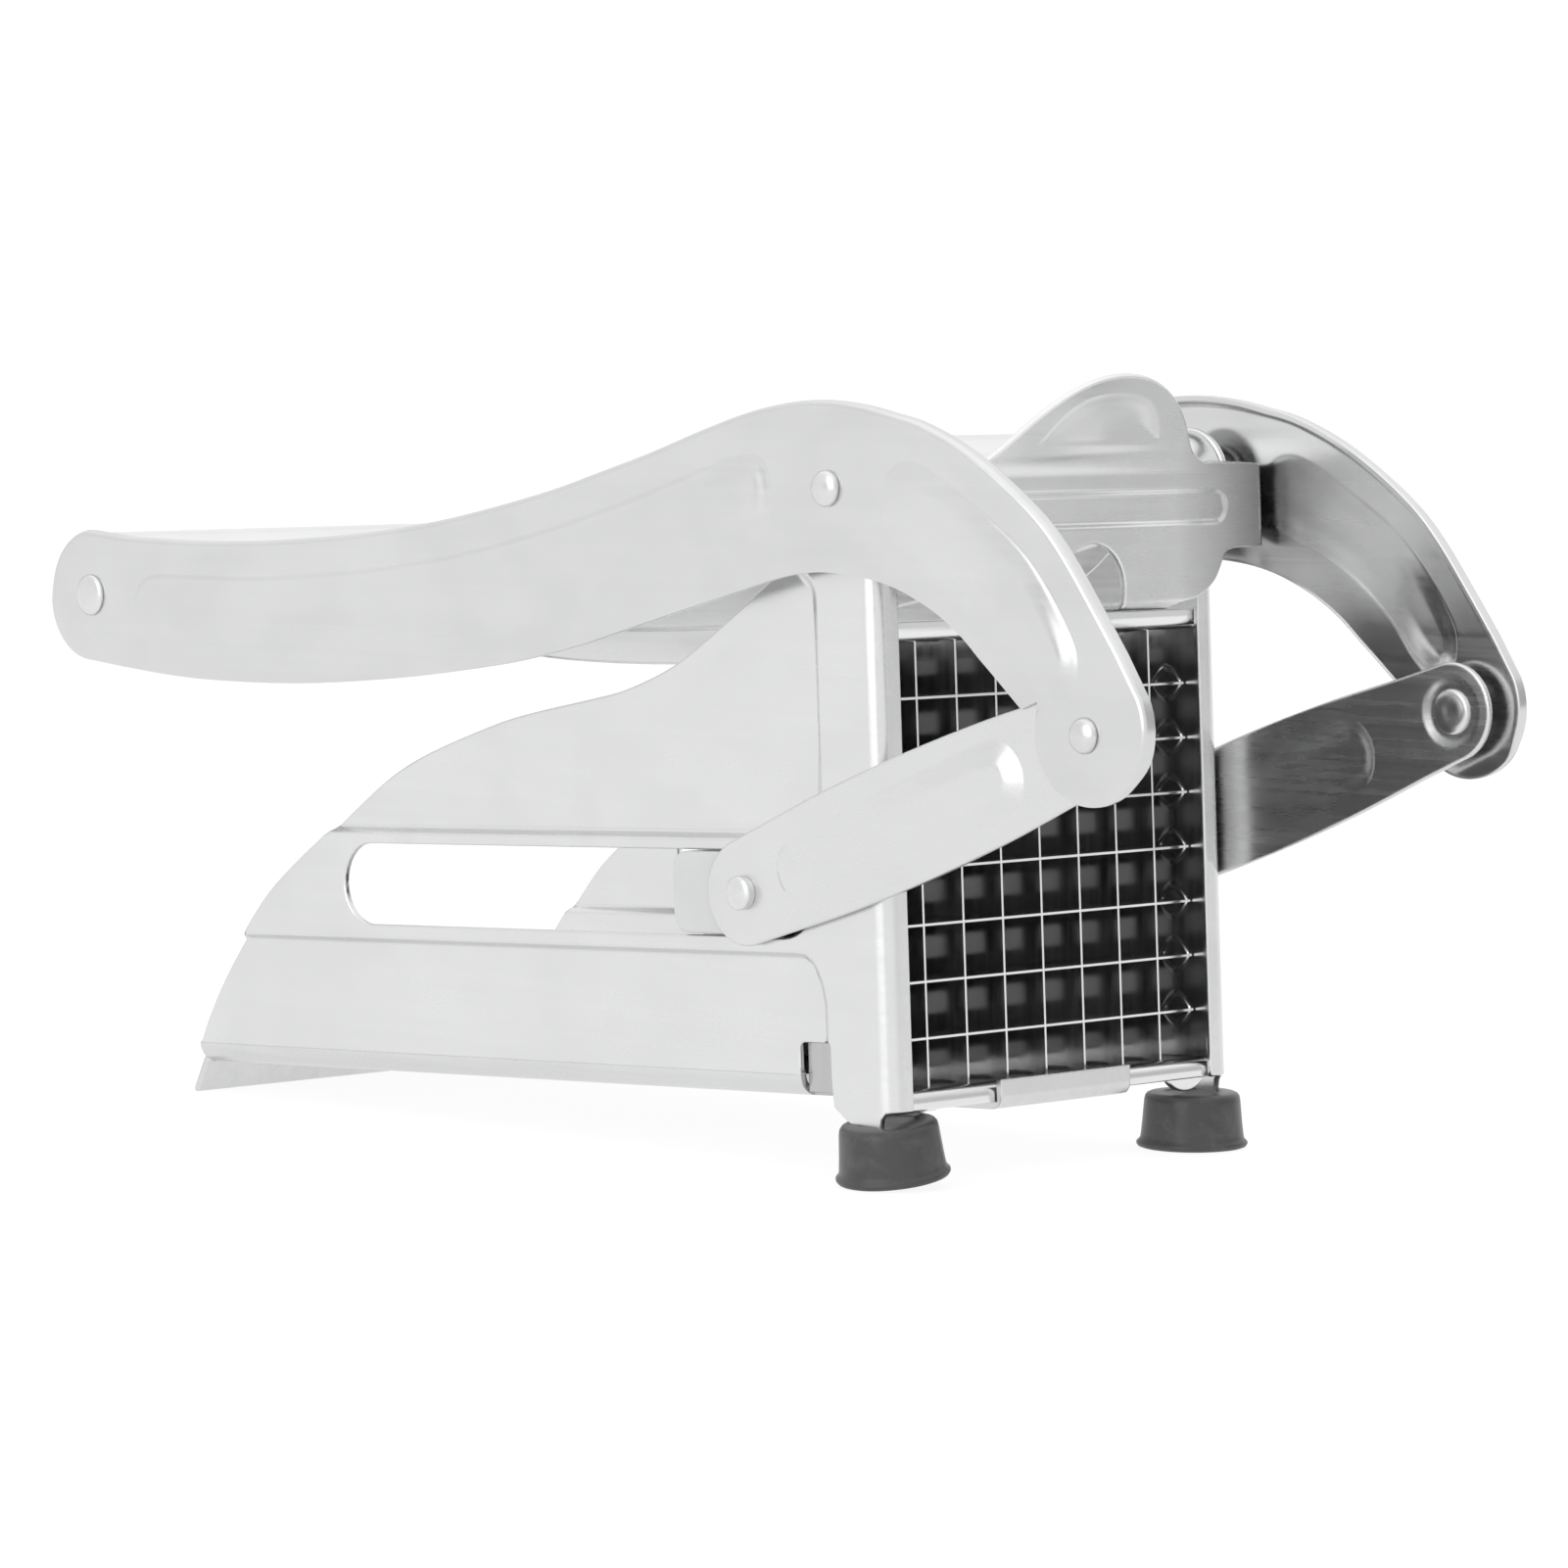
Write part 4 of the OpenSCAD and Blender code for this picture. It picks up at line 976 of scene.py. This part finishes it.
b = Builder()
marks = [diamond((-4.1, k * CELL), 3.0, 2.7) for k in range(-3, 4)]
ring_lines = [q for m in marks for q in rings(m, (-0.8, -0.5, -0.2, 0.1, 0.4, 0.8, 1.3))]
cheek = ccw(split_long(np.array([(-17.4, -35.4), (2.7, -35.4), (2.7, 36.6), (-17.4, 36.6)], float), 1.8))
for s_ in (1, -1):
    pressed(b, cheek, 1.1, flat_edge(1.1, 0.2, 2), lambda u, v, w, s_=s_: (u, s_ * (35.6 - w), v), lambda p: staked(p, marks), lines=ring_lines, step=1.8)


def lip_place(z, s_, r=2.0):
    """Flat plate with its front edge turned outwards: u runs forward, v to the left, w towards the grid."""
    def place(u, v, w):
        a = (u - 1.0) / r
        if a <= 0:
            return (u, v, z - s_ * w)
        if a < math.pi / 2:
            return (1.0 + (r + w) * math.sin(a), v, z + s_ * r - s_ * (r + w) * math.cos(a))
        return (1.0 + r + w, v, z + s_ * (r + u - 1.0 - r * math.pi / 2))
    return place


marks2 = [diamond((-6.6, k * CELL), 3.0, 2.5) for k in range(-3, 4)]
for z, s_, reach in ((36.0, 1, 39.3), (-34.8, -1, 38.0)):
    far = 1.0 + math.pi + (reach - abs(z) - 2.0)
    sheet_line = ccw(split_long(np.array([(-17.4, -36.3), (far, -36.3), (far, 36.3), (-17.4, 36.3)], float), 1.8))
    bends = [np.array([(0.8 + q, y) for y in np.arange(-35.4, 35.5, 1.2)]) for q in np.arange(0.0, 3.8, 0.35)]
    wave = lambda p: staked(p, marks2) + 0.05 * np.sin(p[:, 1] / 6.0 + 1.0) * smooth((p[:, 0] - 0.5) / 1.5)
    pressed(b, sheet_line, 1.1, flat_edge(1.1, 0.25, 3), lip_place(z, s_), wave,
            lines=bends + [q for m in marks2 for q in rings(m, (-0.8, -0.5, -0.2, 0.1, 0.4, 0.8, 1.3))], step=2.0)
for y, low in ((31.3, -40.2), (-31.3, -38.4)):
    moon = ccw(tidy([(y + 5.55 * math.cos(math.radians(a)), max(low, -34.9 + 5.3 * math.sin(math.radians(a)))) for a in range(180, 361, 6)]))
    pressed(b, moon, 1.2, flat_edge(1.2, 0.25, 3), lambda u, v, w: (1.6 + w, u, v), step=1.6)
finish_piece(b.object("cassette"), MATS["frame"], "chassis", "frame", "blade_frame")

# ---------------------------------------------------------------- slider shoes
shoe_line = ccw(split_long(tidy(arc((-41.2, -0.0), 3.0, 90, 180, 8) + arc((-41.2, -7.3), 3.0, 180, 270, 8) + arc((-25.9, -3.65), 6.75, -80, 80, 20)), 2.0))
for name, flip in BOTH:
    b = Builder()
    pressed(b, shoe_line, 3.3, flat_edge(3.3, 0.5), lambda u, v, w: (u, 40.1 + w, v), step=2.5)
    peg = [(0, 34.4, 0, -1), (2.2, 34.4, 0, -1), (2.5, 34.7, 1, 0), (2.5, 36.85, 1, 0), (0, 36.85, 0, 1)]
    lathe(b, peg, along_y((-37.5, -3.65)), 32)
    finish_piece(b.object("slider_" + name, flip), MATS["slider"], "pusher", "slider", "slider_shoe_" + name)


# ---------------------------------------------------------------- stage and light
def make_mesh(name, verts, faces):
    me = bpy.data.meshes.new(name)
    me.from_pydata(verts, [], faces)
    me.update()
    ob = bpy.data.objects.new(name, me)
    scene.collection.objects.link(ob)
    return ob


floor = make_mesh("studio_floor", [(-60, -60, 0), (60, -60, 0), (60, 60, 0), (-60, 60, 0)], [(0, 1, 2, 3)])
gf = Graph("studio_floor")
gf.bsdf.inputs["Roughness"].default_value = 0.9
gf.bsdf.inputs["Specular IOR Level"].default_value = 0.1
gf.put(gf.bsdf.inputs["Base Color"], gf.mix(gf.noise(3.0, 2.0), grey(0.11), grey(0.13)))
gf.bsdf.inputs["Emission Color"].default_value = (1, 1, 1, 1)
gf.bsdf.inputs["Emission Strength"].default_value = 0.90
floor.data.materials.append(gf.mat)

world = bpy.data.worlds.new("studio")
scene.world = world
world.use_nodes = True
wt = world.node_tree
wt.nodes.clear()
wo = wt.nodes.new("ShaderNodeOutputWorld")
bg = wt.nodes.new("ShaderNodeBackground")
wt.links.new(bg.outputs[0], wo.inputs[0])
sky = wt.nodes.new("ShaderNodeTexCoord").outputs["Generated"]


def toward(direction, lo, hi, gain):
    """Part of the sky round a direction, from nothing at cosine lo to the full gain at cosine hi."""
    d = wt.nodes.new("ShaderNodeVectorMath")
    d.operation = "DOT_PRODUCT"
    d.inputs[1].default_value = Vector(direction).normalized()
    wt.links.new(sky, d.inputs[0])
    m = wt.nodes.new("ShaderNodeMapRange")
    m.interpolation_type = "SMOOTHSTEP"
    for k, v in zip(("From Min", "From Max", "To Min", "To Max"), (lo, hi, 0.0, gain)):
        m.inputs[k].default_value = v
    wt.links.new(d.outputs["Value"], m.inputs["Value"])
    return m.outputs[0]


def plus(a, b_):
    m = wt.nodes.new("ShaderNodeMath")
    m.operation = "ADD"
    for i, v in enumerate((a, b_)):
        if isinstance(v, bpy.types.NodeSocket):
            wt.links.new(v, m.inputs[i])
        else:
            m.inputs[i].default_value = v
    return m.outputs[0]


# even white tent, a large soft box in front of the near side, a brighter ceiling and a greyer far corner
level = plus(1.0, toward((0.06, -0.95, 0.24), 0.83, 0.95, 1.1))
level = plus(level, toward((-0.40, -0.91, -0.02), 0.965, 0.995, -0.30))
level = plus(level, toward((0.50, -0.86, -0.05), 0.982, 0.997, -0.60))
level = plus(level, toward((-0.96, 0.28, 0.0), 0.955, 0.99, -0.45))
level = plus(level, toward((0.30, 0.95, 0.02), 0.90, 0.99, -0.35))
level = plus(level, toward((0, 0, 1), 0.35, 0.95, 0.25))
level = plus(level, toward((0.85, 0.50, 0.12), 0.70, 0.97, -0.40))
bg.inputs["Color"].default_value = (1, 1, 1, 1)
wt.links.new(level, bg.inputs["Strength"])


def area(name, loc, target, size, power, size_y=None):
    d = bpy.data.lights.new(name, "AREA")
    d.energy = power
    d.size = size
    if size_y:
        d.shape = "RECTANGLE"
        d.size_y = size_y
    o = bpy.data.objects.new(name, d)
    o.location = loc
    o.rotation_euler = (Vector(target) - Vector(loc)).to_track_quat("-Z", "Y").to_euler()
    scene.collection.objects.link(o)
    return o


area("soft_top", (-0.3, -0.5, 2.0), (0, 0, 0.05), 2.4, 1.2)

scene.view_settings.view_transform = "Standard"
scene.view_settings.look = "None"
scene.view_settings.exposure = 0.0
scene.view_settings.gamma = 1.0
